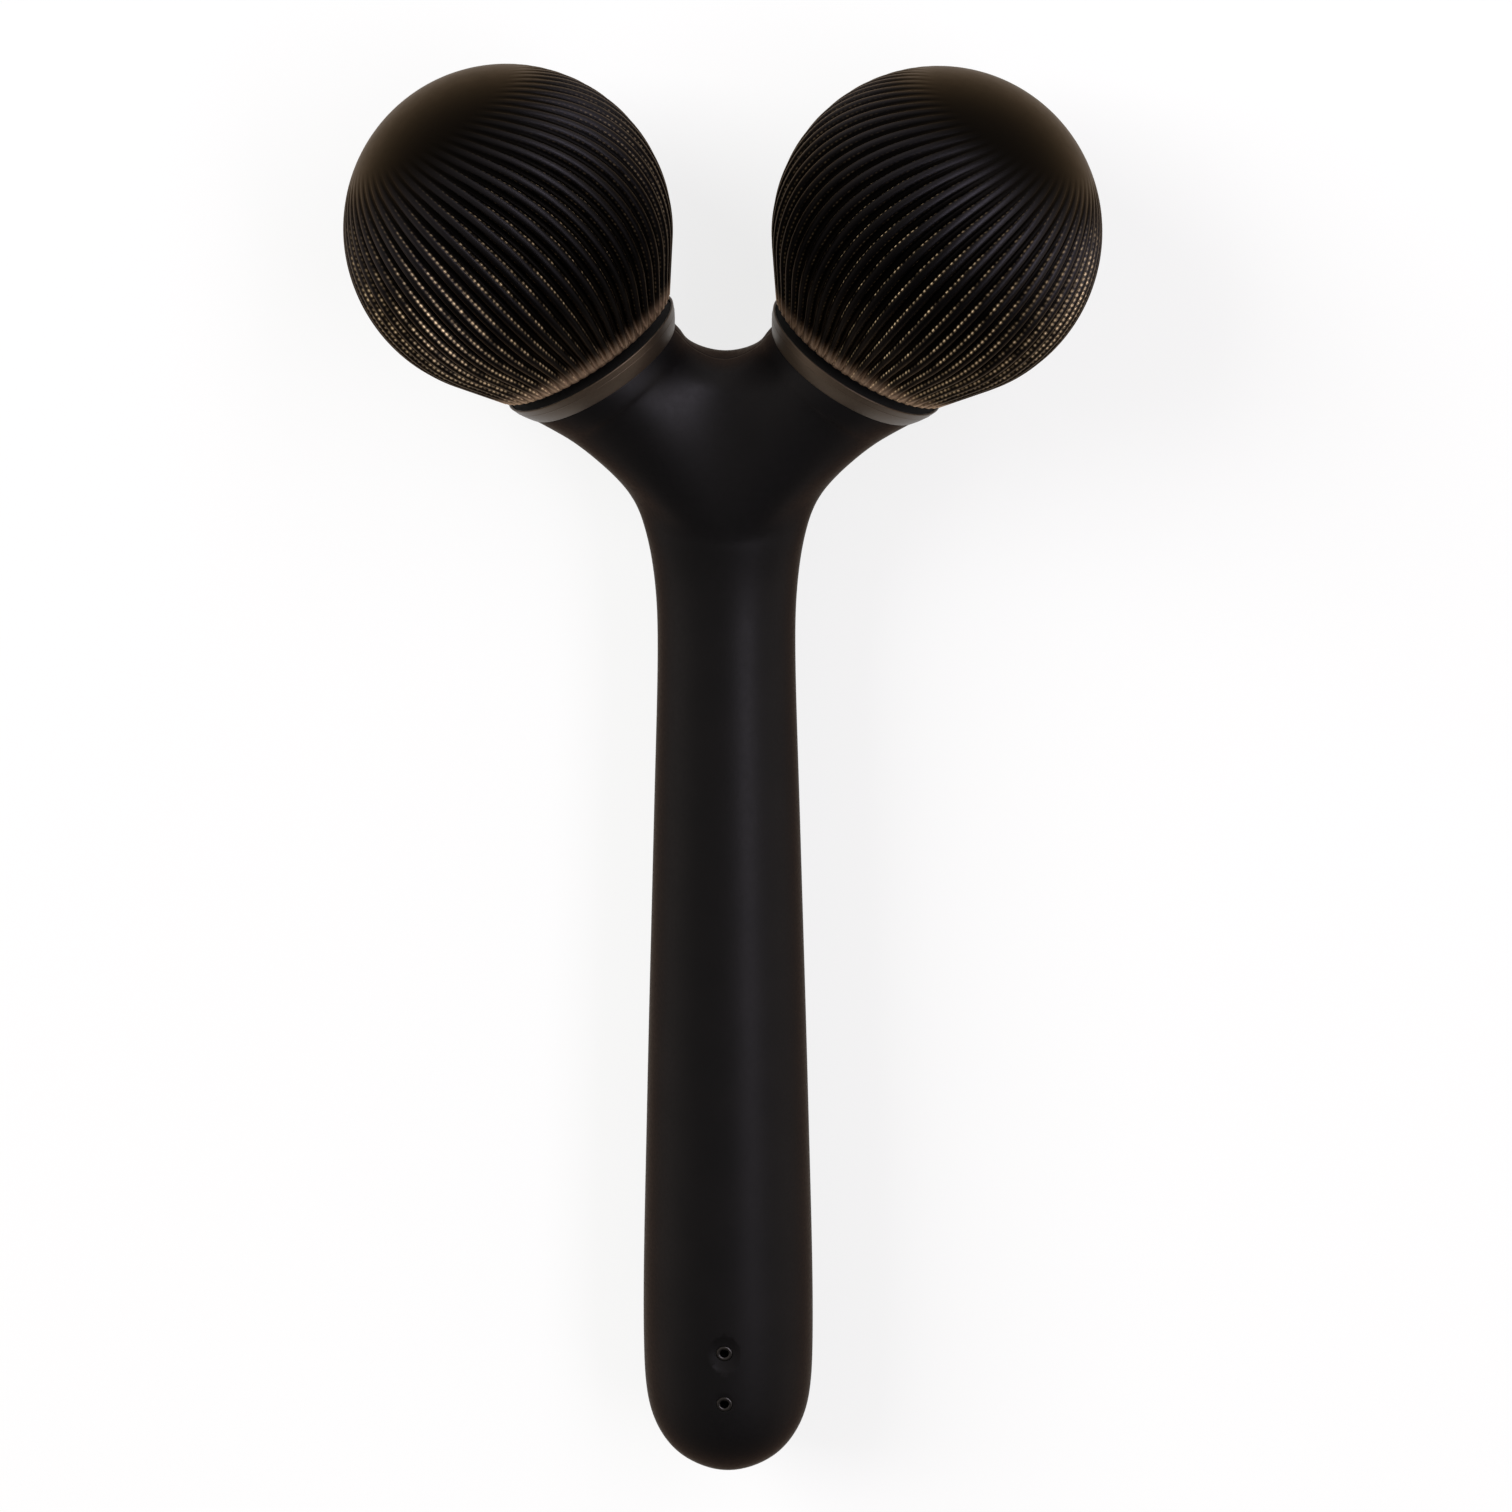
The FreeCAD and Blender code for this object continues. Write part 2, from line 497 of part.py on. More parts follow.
weight_eye = solid("Cylinder", "weight_eye", on_handle(weight_place, turn=lengthwise),
                   Radius="sizes.shaft_radius + sizes.weight_rim", Height="sizes.weight_length")
weight_bore = solid("Cylinder", "weight_bore", on_handle(weight_place - size("overrun"), turn=lengthwise),
                    Radius="sizes.shaft_radius", Height="sizes.weight_length + 2 * sizes.overrun")
weight_body = joined("weight_body", [shared("weight_sector", weight_disc, weight_half), weight_eye])
keep("eccentric_weight", less("eccentric_weight", weight_body, [weight_bore]))


def lead(points):
    """A round lead along straight runs with ball corners."""
    run = None
    radius = size("lead_radius")
    for start, stop in zip(points, points[1:]):
        step = Part.makeCylinder(radius, start.distanceToPoint(stop), start, stop - start)
        run = step if run is None else run.fuse(step)
    for corner in points[1:-1]:
        run = run.fuse(Part.makeSphere(radius, corner))
    return run.removeSplitter()


# Leads from the cell and from the motor to the board
landing = board_end - size("lead_drop")
lead_level = board_top + size("lead_radius")
side_lead = size("screw_head_radius") + size("lead_radius") + size("lead_clear")
lead_orbit = size("cell_radius") + size("lead_radius") + size("lead_play")
lead_height = math.sqrt(lead_orbit ** 2 - side_lead ** 2)
behind_plus = cell_end + size("tab_thick") + size("lead_radius")
before_minus = cell_place - size("tab_thick") - size("lead_radius")
plus_run = [(side_lead, behind_plus, side_lead), (side_lead, behind_plus, lead_height),
            (side_lead, board_end, lead_height), (side_lead, landing, lead_level)]
minus_run = [(-side_lead, before_minus, side_lead), (-side_lead, before_minus, lead_level),
             (-side_lead, landing, lead_level)]
lead_rise = math.radians(size("lead_angle"))
orbit_side = lead_orbit * math.cos(lead_rise)
orbit_up = lead_orbit * math.sin(lead_rise)
motor_back = motor_place - size("lead_radius")
runs = {"battery_leads": [plus_run, minus_run], "motor_leads": []}
for side in (-1, 1):
    runs["motor_leads"].append([(side * side_lead, motor_back, 0), (side * orbit_side, motor_back, orbit_up),
                                (side * orbit_side, board_end, orbit_up),
                                (side * orbit_side, landing, lead_level)])
for label, pair in runs.items():
    made = doc.addObject("Part::Feature", label)
    leads = []
    for run in pair:
        leads.append(lead([on_handle(along, up, across).Base for across, along, up in run]))
    made.Shape = Part.makeCompound(leads)
    keep(label, made)

# Ribs: the ball stays round between grooves, which lean over towards its tip
RIB_COUNT = 60


def in_ball(side, angle, turn, depth):
    """A point below a ball's round, by its angle from the tip and its turn round the axis."""
    out = FreeCAD.Vector(math.sin(angle) * math.cos(turn), side * math.sin(angle) * math.sin(turn),
                         math.cos(angle))
    return on_arm(side, size("arm_length")).multVec(out * (size("ball_radius") - depth))


def groove_cutter(name, side, turn):
    """A wedge, swung round the circle through the bottom of a groove at its start, middle and end."""
    start_angle = math.radians(size("groove_start_angle"))
    end_angle = math.radians(size("groove_end_angle"))
    lean = math.radians(size("groove_lean_angle"))
    bow = math.radians(size("groove_bow_angle"))
    start = in_ball(side, start_angle, turn + lean, size("groove_end_depth"))
    middle = in_ball(side, (start_angle + end_angle) / 2, turn + bow, size("groove_depth"))
    end = in_ball(side, end_angle, turn, size("groove_end_depth"))
    centre = Part.Circle(start, middle, end).Center
    swing_axis = (start - centre).cross(middle - centre).normalize()
    swing = (start - centre).getAngle(middle - centre) + (middle - centre).getAngle(end - centre)

    onward = swing_axis.cross(start - centre).normalize()
    across = (start - on_arm(side, size("arm_length")).Base).cross(onward).normalize()
    height = size("groove_depth") + size("groove_rise")
    half_width = height * math.tan(math.radians(size("groove_flank_angle")))
    crest = start + onward.cross(across) * height
    wedge = doc.addObject("Part::Polygon", name + "_wedge")
    wedge.Nodes = [start, crest + across * half_width, crest - across * half_width]
    wedge.Close = True
    cutter = doc.addObject("Part::Revolution", name)
    cutter.Source = wedge
    cutter.Base = centre
    cutter.Axis = swing_axis
    cutter.Angle = math.degrees(swing)
    cutter.Solid = True
    return cutter


# Arms: axle block, axle, collar, washer and ring stay with the handle; hub, bushes and ball turn
ball_place = size("arm_length")
hub_start = face_place + size("ball_gap")
inner_bush = hub_start + size("bush_inset")
outer_bush = ball_place + size("outer_bush_start")
ring_place = outer_bush + size("bush_length") + size("ring_play")
axle_start = arm_end - size("socket_depth")
for name, side in (("left", -1), ("right", 1)):
    def rod(piece, along, **sizes):
        return solid("Cylinder", piece + "_" + name, on_arm(side, along), **sizes)

    block = rod("block_rod", arm_end - size("socket_depth"),
                Radius="sizes.socket_radius", Height="sizes.socket_depth")
    block_bore = rod("block_bore", axle_start - size("overrun"),
                     Radius="sizes.axle_radius", Height="sizes.socket_depth + 2 * sizes.overrun")
    keep("axle_block_" + name, less("axle_block_" + name, block, [block_bore]))

    axle_rod = rod("axle_rod", axle_start, Radius="sizes.axle_radius",
                   Height="sizes.socket_depth + sizes.collar_height + sizes.ball_gap + sizes.base_reach"
                          " + sizes.axle_end")
    groove_outer = rod("groove_outer", ring_place, Radius="sizes.ring_radius", Height="sizes.ring_width")
    groove_inner = rod("groove_inner", ring_place, Radius="sizes.ring_groove_radius",
                       Height="sizes.ring_width")
    groove = less("groove_" + name, groove_outer, [groove_inner])
    keep("axle_" + name, less("axle_" + name, axle_rod, [groove]))

    ring_mouth = solid("Box", "ring_mouth_" + name, on_arm(side, ring_place), Length="sizes.ring_mouth",
                       Width="2 * sizes.ring_radius", Height="sizes.ring_width")
    ring_mouth.Placement = on_arm(side, ring_place) * FreeCAD.Placement(
        FreeCAD.Vector(-size("ring_mouth") / 2, 0, 0), upright)
    ring_disc = rod("ring_disc", ring_place, Radius="sizes.ring_radius", Height="sizes.ring_width")
    ring_eye = rod("ring_eye", ring_place, Radius="sizes.ring_groove_radius", Height="sizes.ring_width")
    keep("retaining_ring_" + name, less("retaining_ring_" + name, ring_disc, [ring_eye, ring_mouth]))

    collar_cone = solid("Cone", "collar_cone_" + name, on_arm(side, arm_end),
                        Radius1="sizes.collar_root_radius", Radius2="sizes.collar_mouth_radius",
                        Height="sizes.collar_height")
    collar_bore = rod("collar_bore", arm_end - size("overrun"),
                      Radius="sizes.axle_radius + sizes.axle_collar_gap",
                      Height="sizes.collar_height + 2 * sizes.overrun")
    keep("collar_" + name, less("collar_" + name, collar_cone, [collar_bore]))

    washer_disc = rod("washer_disc", face_place, Radius="sizes.washer_radius", Height="sizes.washer_width")
    washer_bore = rod("washer_bore", face_place - size("overrun"),
                      Radius="sizes.axle_radius + sizes.running_gap",
                      Height="sizes.washer_width + 2 * sizes.overrun")
    keep("thrust_washer_" + name, less("thrust_washer_" + name, washer_disc, [washer_bore]))

    hub_rod = rod("hub_rod", hub_start, Radius="sizes.hub_radius",
                  Height="sizes.base_reach + sizes.hub_top")
    hub_bore = rod("hub_bore", hub_start - size("overrun"), Radius="sizes.bush_radius",
                   Height="sizes.base_reach + sizes.hub_top + 2 * sizes.overrun")
    ring_room = rod("ring_room", outer_bush + size("bush_length"), Radius="sizes.ring_bore_radius",
                    Height="sizes.hub_top")
    keep("hub_" + name, less("hub_" + name, hub_rod, [hub_bore, ring_room]))

    for piece, along in (("inner", inner_bush), ("outer", outer_bush)):
        bush_rod = rod("bush_rod_" + piece, along, Radius="sizes.bush_radius", Height="sizes.bush_length")
        bush_bore = rod("bush_bore_" + piece, along - size("overrun"),
                        Radius="sizes.axle_radius + sizes.running_gap",
                        Height="sizes.bush_length + 2 * sizes.overrun")
        label = "bush_" + piece + "_" + name
        keep(label, less(label, bush_rod, [bush_bore]))

    globe = solid("Sphere", "globe_" + name, on_arm(side, ball_place), Radius="sizes.ball_radius",
                  Angle1="-asin(sizes.skirt_start / sizes.ball_radius)")
    skirt = solid("Cone", "skirt_" + name, on_arm(side, hub_start), Radius1=BASE_RADIUS,
                  Radius2=SKIRT_TOP_RADIUS, Height="sizes.base_reach - sizes.skirt_start")
    globe_room = solid("Sphere", "globe_room_" + name, on_arm(side, ball_place),
                       Radius="sizes.ball_radius - sizes.ball_wall")
    hub_socket = rod("hub_socket", ball_place + size("hub_socket_start"),
                     Radius="sizes.hub_radius + sizes.hub_socket_wall",
                     Height="sizes.ball_radius - sizes.ball_wall / 2 - sizes.hub_socket_start")
    socket_core = rod("socket_core", ball_place, Radius="sizes.hub_radius", Height="sizes.ball_radius")
    room = less("room_" + name, globe_room, [less("socket_wall_" + name, hub_socket, [socket_core])])
    mouth = rod("mouth", hub_start - size("overrun"), Radius="sizes.hub_radius",
                Height="sizes.base_reach + sizes.overrun")
    ball_body = joined("ball_body_" + name, [globe, skirt])
    grooves = doc.addObject("Part::Compound", "rib_grooves_" + name)
    half_pitch = math.pi / RIB_COUNT
    grooves.Links = [groove_cutter("rib_groove_%s_%d" % (name, rib), side, (2 * rib + 1) * half_pitch)
                     for rib in range(RIB_COUNT)]
    ribbed = less("ribbed_" + name, ball_body, [grooves])
    keep("ball_" + name, less("ball_" + name, ribbed, [room, mouth]))

doc.recompute()

# Every object is sound before anything is written
for made in doc.Objects:
    if "Invalid" in made.State or "Error" in made.State:
        raise RuntimeError("%s did not build: %s" % (made.Name, made.State))
for label, made in nodes.items():
    if made.Shape.isNull() or not made.Shape.isValid():
        raise RuntimeError("%s has no sound shape" % label)

os.makedirs("parts", exist_ok=True)
for label, made in nodes.items():
    made.Shape.exportStep("parts/%s.step" % label)
    box = made.Shape.BoundBox
    print("%-22s solids %d  volume %9.2f  x %7.2f %7.2f  y %7.2f %7.2f  z %6.2f %6.2f" % (
        label, len(made.Shape.Solids), made.Shape.Volume,
        box.XMin, box.XMax, box.YMin, box.YMax, box.ZMin, box.ZMax))
print("length %.2f, tilt of the head %.2f degrees" % (whole_length, math.degrees(head_tilt)))
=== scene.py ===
# %% [markdown]
# # A facial roller with two ribbed balls
#
# The roller is a round handle that forks into two short arms. Each arm ends in a flared collar and carries
# a ball, ribbed like a melon, that spins on a hidden axle. The CAD model holds the working parts, and this
# lesson gives them the skin that the eye meets: a seamless body, ribs, rims, finishes and studio light.
#
# Everything is in metres in the CAD frame: X across, Y from the butt end to the balls, Z up from the table.

# %% Load the frame
import json
import math
import bmesh
import bpy
from mathutils import Matrix, Vector


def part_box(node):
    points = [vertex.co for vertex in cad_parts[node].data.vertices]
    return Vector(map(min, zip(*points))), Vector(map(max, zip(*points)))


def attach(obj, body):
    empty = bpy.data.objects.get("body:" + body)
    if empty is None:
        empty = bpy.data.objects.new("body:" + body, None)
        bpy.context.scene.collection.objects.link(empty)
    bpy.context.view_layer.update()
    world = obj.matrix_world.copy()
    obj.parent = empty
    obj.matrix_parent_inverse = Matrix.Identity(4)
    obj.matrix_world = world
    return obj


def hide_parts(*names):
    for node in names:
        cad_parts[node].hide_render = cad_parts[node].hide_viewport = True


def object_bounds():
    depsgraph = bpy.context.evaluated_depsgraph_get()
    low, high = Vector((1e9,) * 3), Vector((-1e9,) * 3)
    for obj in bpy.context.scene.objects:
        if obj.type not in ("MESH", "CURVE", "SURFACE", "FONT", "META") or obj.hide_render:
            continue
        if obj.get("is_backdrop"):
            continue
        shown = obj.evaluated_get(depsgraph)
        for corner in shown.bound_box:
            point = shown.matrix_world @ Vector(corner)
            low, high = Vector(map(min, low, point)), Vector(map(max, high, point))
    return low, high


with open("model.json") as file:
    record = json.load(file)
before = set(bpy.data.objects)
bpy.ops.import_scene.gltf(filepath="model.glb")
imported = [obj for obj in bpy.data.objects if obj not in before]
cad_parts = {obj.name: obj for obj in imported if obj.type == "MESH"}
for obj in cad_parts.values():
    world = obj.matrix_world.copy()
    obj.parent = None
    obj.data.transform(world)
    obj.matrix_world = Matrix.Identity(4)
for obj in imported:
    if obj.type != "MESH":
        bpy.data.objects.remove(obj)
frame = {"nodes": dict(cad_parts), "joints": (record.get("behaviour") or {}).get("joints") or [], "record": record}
cad_low, cad_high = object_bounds()
MM = 0.001
print("CAD box in mm", [round((high - low) / MM, 2) for low, high in zip(cad_low, cad_high)])

# %% [markdown]
# ## Where the arms are
#
# The arms could be measured by eye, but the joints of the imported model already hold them: each ball's hinge
# has a point and an axis. The two axes meet in the handle's middle plane, and that fork point is the place
# from which the whole head of the roller is drawn.

# %% Fork point, arm axes and collars, read from the frame
SIDES = ("left", "right")
centre, axis = {}, {}
for joint in frame["joints"]:
    for side in SIDES:
        if joint["name"] == "roller_%s_spin" % side:
            centre[side] = Vector(joint["pos_m"])
            axis[side] = Vector(joint["axis"]).normalized()
arm_length = centre["right"].x / axis["right"].x
fork = centre["right"] - arm_length * axis["right"]
head_tilt = math.atan2(axis["right"].z, axis["right"].y)
arm_angle = math.asin(axis["right"].x)


def along_arm(node, side):
    """Nearest and farthest reach of a CAD node along its arm, from the fork point."""
    reaches = [(vertex.co - fork).dot(axis[side]) for vertex in frame["nodes"][node].data.vertices]
    return min(reaches), max(reaches)


arm_end, collar_face = along_arm("collar_right", "right")
ball_low, ball_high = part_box("ball_right")
ball_radius = (ball_high[2] - ball_low[2]) / 2
ball_base = arm_length - along_arm("ball_right", "right")[0]
butt_end = cad_low[1]
print("fork at y %.2f, tilt %.2f, arm angle %.2f, arm end %.2f" % (
    fork.y / MM, math.degrees(head_tilt), math.degrees(arm_angle), arm_end / MM))
print("collar face %.2f, ball radius %.2f, base %.2f" % (collar_face / MM, ball_radius / MM, ball_base / MM))

# %% [markdown]
# ## Helpers for meshes and finishes
#
# A few small helpers serve every piece. Some make a mesh object, bake its modifiers into a plain mesh and
# shade it. Others turn an sRGB hex value into the linear colour that shaders work in, add a shader node with
# its settings and links, and make the finishes that differ only in tone, grain and roughness.

# %% Mesh helpers
SAME_POINT = 0.0005 * MM  # points closer than this are merged


def new_piece(name, points, faces):
    """A mesh object at the origin, with doubled points merged and its faces turned outwards."""
    mesh = bpy.data.meshes.new(name)
    mesh.from_pydata(points, [], faces)
    form = bmesh.new()
    form.from_mesh(mesh)
    bmesh.ops.remove_doubles(form, verts=form.verts, dist=SAME_POINT)
    bmesh.ops.recalc_face_normals(form, faces=form.faces)
    form.to_mesh(mesh)
    form.free()
    piece = bpy.data.objects.new(name, mesh)
    bpy.context.scene.collection.objects.link(piece)
    return piece


def baked(piece):
    """The same object with its modifiers turned into plain mesh."""
    graph = bpy.context.evaluated_depsgraph_get()
    graph.update()
    mesh = bpy.data.meshes.new_from_object(piece.evaluated_get(graph), depsgraph=graph)
    piece.modifiers.clear()
    piece.data = mesh
    return piece


def smooth(piece, crease=40):
    """Round shading, with edges sharper than the crease angle kept crisp."""
    piece.data.shade_smooth()
    piece.data.set_sharp_from_angle(angle=math.radians(crease))
    return piece


def triangles(piece):
    """How many triangles the piece's faces come to."""
    return sum(len(face.vertices) - 2 for face in piece.data.polygons)


print("mesh helpers ready")

# %% Finish helpers
GRAIN_RELIEF = 0.02 * MM  # how high a grain stands
ROUGHNESS_SPREAD = 0.06  # how far a grain's roughness goes to either side of its middle


def linear(hex_code):
    """An sRGB hex value as a linear colour with alpha."""
    parts = [int(hex_code[place:place + 2], 16) / 255 for place in (1, 3, 5)]
    return [part / 12.92 if part <= 0.04045 else ((part + 0.055) / 1.055) ** 2.4 for part in parts] + [1.0]


def add_node(tree, kind, links=None, **settings):
    """One node with its settings; each link is a value or the socket that feeds it."""
    made = tree.nodes.new(kind)
    for key, value in settings.items():
        setattr(made, key, value)
    for socket, value in (links or {}).items():
        if isinstance(value, bpy.types.NodeSocket):
            tree.links.new(value, made.inputs[socket])
        else:
            made.inputs[socket].default_value = value
    return made


def new_finish(name, **sockets):
    """A material with one Principled shader; underscores in socket names stand for spaces."""
    finish = bpy.data.materials.new(name)
    finish.use_nodes = True
    shader = finish.node_tree.nodes["Principled BSDF"]
    for socket, value in sockets.items():
        shader.inputs[socket.replace("_", " ")].default_value = value
    return finish, finish.node_tree, shader


def grained(name, dark, light, grain, roughness, bump, metallic=0.0, stretch=(1, 1, 1)):
    """A fine grain in two tones, with its own roughness and relief; stretch draws it out into brush marks."""
    finish, tree, shader = new_finish(name, Metallic=metallic)
    where = add_node(tree, "ShaderNodeTexCoord")
    spread = add_node(tree, "ShaderNodeMapping", {"Vector": where.outputs["Object"], "Scale": stretch})
    noise = add_node(tree, "ShaderNodeTexNoise", {
        "Vector": spread.outputs["Vector"], "Scale": 1 / (grain * MM), "Detail": 3.0})
    tone = add_node(tree, "ShaderNodeMix", {
        "Factor": noise.outputs["Fac"], "A": linear(dark), "B": linear(light)}, data_type="RGBA")
    rough = add_node(tree, "ShaderNodeMapRange", {
        "Value": noise.outputs["Fac"], "To Min": roughness - ROUGHNESS_SPREAD,
        "To Max": roughness + ROUGHNESS_SPREAD})
    relief = add_node(tree, "ShaderNodeBump", {
        "Height": noise.outputs["Fac"], "Strength": bump, "Distance": GRAIN_RELIEF})
    tree.links.new(tone.outputs["Result"], shader.inputs["Base Color"])
    tree.links.new(rough.outputs["Result"], shader.inputs["Roughness"])
    tree.links.new(relief.outputs["Normal"], shader.inputs["Normal"])
    return finish


def wear_piece(piece, finish, body, slot, *nodes):
    """Puts a finish on a piece, hangs it under its body's empty and hides the CAD nodes that it replaces."""
    piece.data.materials.clear()
    piece.data.materials.append(finish)
    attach(piece, body)
    if nodes:
        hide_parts(*nodes)
    print("%s: %d triangles, replaces %s" % (piece.name, triangles(piece), ", ".join(nodes) or "nothing"))


print("finish helpers ready")

# %% [markdown]
# ## The soft-touch finish of the handle
#
# The shells are injection-moulded ABS sprayed with a pearl soft-touch lacquer. It is a satin black with a
# wide, dim highlight and a fine grain, and it turns a warm brown where the eye meets it at a grazing angle.
# A sheen layer could add that brown. A mostly metallic shader with a warm edge tint was chosen, because it
# takes the brown from what the lacquer mirrors and keeps the rest of the handle dark.

# %% Soft-touch lacquer
LACQUER_GRAIN = 0.45 * MM  # real grit is near 0.05 mm; drawn coarser so that it shows in the render
LACQUER_CLOUD = 6.0 * MM  # slow drift of the tone over the handle


def soft_touch_lacquer(name, dark, light):
    """Satin pearl black: a wide dim highlight, fine grain and a warm brown at the edges."""
    finish, tree, shader = new_finish(name, Metallic=0.85, Specular_IOR_Level=0.16,
                                      Specular_Tint=linear("#bcb0a6"))
    where = add_node(tree, "ShaderNodeTexCoord")
    cloud = add_node(tree, "ShaderNodeTexNoise", {
        "Vector": where.outputs["Object"], "Scale": 1 / LACQUER_CLOUD, "Detail": 3.0})
    tone = add_node(tree, "ShaderNodeMix", {
        "Factor": cloud.outputs["Fac"], "A": linear(dark), "B": linear(light)}, data_type="RGBA")
    grain = add_node(tree, "ShaderNodeTexNoise", {
        "Vector": where.outputs["Object"], "Scale": 1 / LACQUER_GRAIN, "Detail": 2.0, "Roughness": 0.6})
    rough = add_node(tree, "ShaderNodeMapRange", {
        "Value": grain.outputs["Fac"], "From Min": 0.3, "From Max": 0.7, "To Min": 0.40, "To Max": 0.50})
    relief = add_node(tree, "ShaderNodeBump", {
        "Height": grain.outputs["Fac"], "Strength": 0.35, "Distance": GRAIN_RELIEF})
    tree.links.new(tone.outputs["Result"], shader.inputs["Base Color"])
    tree.links.new(rough.outputs["Result"], shader.inputs["Roughness"])
    tree.links.new(relief.outputs["Normal"], shader.inputs["Normal"])
    return finish


shell_finish = soft_touch_lacquer("pearl_black_soft_lacquer_on_abs", "#1d1d1e", "#222122")
button_finish = soft_touch_lacquer("pearl_black_soft_lacquer_on_button", "#242223", "#2a2727")
print("finishes", shell_finish.name, button_finish.name)

# %% [markdown]
# ## The body: one skin from butt to arms
#
# On the real roller the handle swells into its two arms with no edge anywhere, as moulded plastic does. A
# boolean of tubes would leave creases at the crotch. A subdivision surface is the natural tool: a coarse cage
# of eight-point rings runs up the handle, divides at the fork like a pair of trousers and ends in two round
# arm ends.
#
# A subdivided skin shrinks away from its cage, so the cage is first pushed outwards, a little in each round,
# until the skin itself goes through the measured points. The head is drawn flat and bent up afterwards.

# %% Measured half widths of the body, in millimetres
HANDLE_STATIONS = [  # from the butt end, half width
    (0.7, 3.9), (2.6, 6.6), (7.1, 9.05), (14.9, 9.77), (25.9, 9.68), (39.9, 9.3), (54.9, 8.86), (69.9, 8.38),
    (82.9, 7.96), (92.9, 7.63), (99.9, 7.5)]
# from the fork, half width, half depth
STEM_STATIONS = [(-4.6, 7.62, 7.46), (-0.4, 8.03, 7.47), (3.7, 8.82, 7.5), (8.0, 10.65, 7.55)]
CROTCH = (22.65, 20.5, 5.3)  # bottom of the crotch from the fork, and its upper edge: reach and height
ARM_STATIONS = [((14.4, 12.3), (3.2, 23.9), 7.85), ((17.5, 14.8), (4.3, 25.05), 8.4)]  # outer, inner, deep
ARM_END_RADIUS = 8.98
RING = 8


def ellipse(middle, outward, half_wide, half_deep):
    """Eight points round a section, from its outer side over the top to the inner side and back below."""
    points = []
    for step in range(RING):
        turn = 2 * math.pi * step / RING
        rise = Vector((0, 0, half_deep * math.sin(turn)))
        points.append(middle + outward * (half_wide * math.cos(turn)) + rise)
    return points


print(len(HANDLE_STATIONS) + len(STEM_STATIONS), "rings on the handle")

# %% Build the cage
cage_points, cage_faces = [], []


def add_ring(points):
    """Adds points to the cage and returns their numbers."""
    start = len(cage_points)
    cage_points.extend(points)
    return list(range(start, start + len(points)))


def bridge(ring, following):
    """Joins two rings of the cage with a band of faces."""
    for step in range(RING):
        after = (step + 1) % RING
        cage_faces.append((ring[step], ring[after], following[after], following[step]))


across = Vector((1, 0, 0))
fork_from_butt = (fork.y - butt_end) / MM
stations = [(along - fork_from_butt, wide, wide) for along, wide in HANDLE_STATIONS] + STEM_STATIONS
butt = add_ring([Vector((0, -fork_from_butt, 0))])[0]
rings = [add_ring(ellipse(Vector((0, reach, 0)), across, wide, deep)) for reach, wide, deep in stations]
for step in range(0, RING, 2):
    cage_faces.append((butt, rings[0][step], rings[0][step + 1], rings[0][(step + 2) % RING]))
for ring, following in zip(rings, rings[1:]):
    bridge(ring, following)
print("handle cage of", len(cage_points), "points")

# %% Divide the cage at the crotch and carry it on into the arms
bottom, lip_reach, lip_height = CROTCH
crotch = add_ring([Vector((0, lip_reach, lip_height)), Vector((0, bottom, 0)),
                   Vector((0, lip_reach, -lip_height))])
stem = rings[-1]
trouser_rings = {1: stem[0:3] + crotch + stem[6:8],
                 -1: [stem[4], stem[3], stem[2]] + crotch + [stem[6], stem[5]]}
for sign, ring in trouser_rings.items():
    for outer, inner, deep in ARM_STATIONS:
        outer = Vector((sign * outer[0], outer[1], 0))
        inner = Vector((sign * inner[0], inner[1], 0))
        span = (outer - inner) / 2
        following = add_ring(ellipse((outer + inner) / 2, span.normalized(), span.length, deep))
        bridge(ring, following)
        ring = following
    end = Vector((sign * math.sin(arm_angle), math.cos(arm_angle), 0)) * (arm_end / MM)
    outward = Vector((sign * math.cos(arm_angle), -math.sin(arm_angle), 0))
    bridge(ring, add_ring(ellipse(end, outward, ARM_END_RADIUS, ARM_END_RADIUS)))
body = new_piece("body_skin", cage_points, cage_faces)
print("cage of", len(body.data.vertices), "points")

# %% Push the cage out until the skin goes through the measured points
FITTING_ROUNDS = 120
SKIN_LEVELS = 4


def skin_points(form):
    """Where each corner of the cage comes to lie on the endlessly subdivided skin."""
    result = []
    for corner in form.verts:
        rim = [edge.other_vert(corner).co for edge in corner.link_edges if edge.is_boundary]
        if rim:
            result.append((rim[0] + rim[1] + 4 * corner.co) / 6)
            continue
        count = len(corner.link_edges)
        near = sum((edge.other_vert(corner).co for edge in corner.link_edges), Vector())
        far = Vector()
        for face in corner.link_faces:
            order = list(face.verts)
            far += order[(order.index(corner) + 2) % 4].co
        result.append((count * count * corner.co + 4 * near + far) / (count * (count + 5)))
    return result


form = bmesh.new()
form.from_mesh(body.data)
goals = [corner.co.copy() for corner in form.verts]
for _ in range(FITTING_ROUNDS):
    for corner, goal, now in zip(form.verts, goals, skin_points(form)):
        corner.co += goal - now
miss = max((goal - now).length for goal, now in zip(goals, skin_points(form)))
form.to_mesh(body.data)
form.free()
skin = body.modifiers.new("skin", "SUBSURF")
skin.levels = skin.render_levels = SKIN_LEVELS
baked(body)
print("skin misses its points by at most %.4f mm, %d triangles" % (miss, triangles(body)))

# %% [markdown]
# ## Bending the head up and parting the shells
#
# The roller lies on its butt end and its balls, so the arms rise a little. The flat skin is rolled over a
# gentle arc at the fork, which keeps its widths. Then it is parted along the middle into the two shells of
# the real handle. Solidify gives each a wall and Bevel breaks the parting edge, so a fine seam line runs
# round the side as on any moulded handle.

# %% Bend the skin
BEND = 7.0  # half the length of the arc, in millimetres


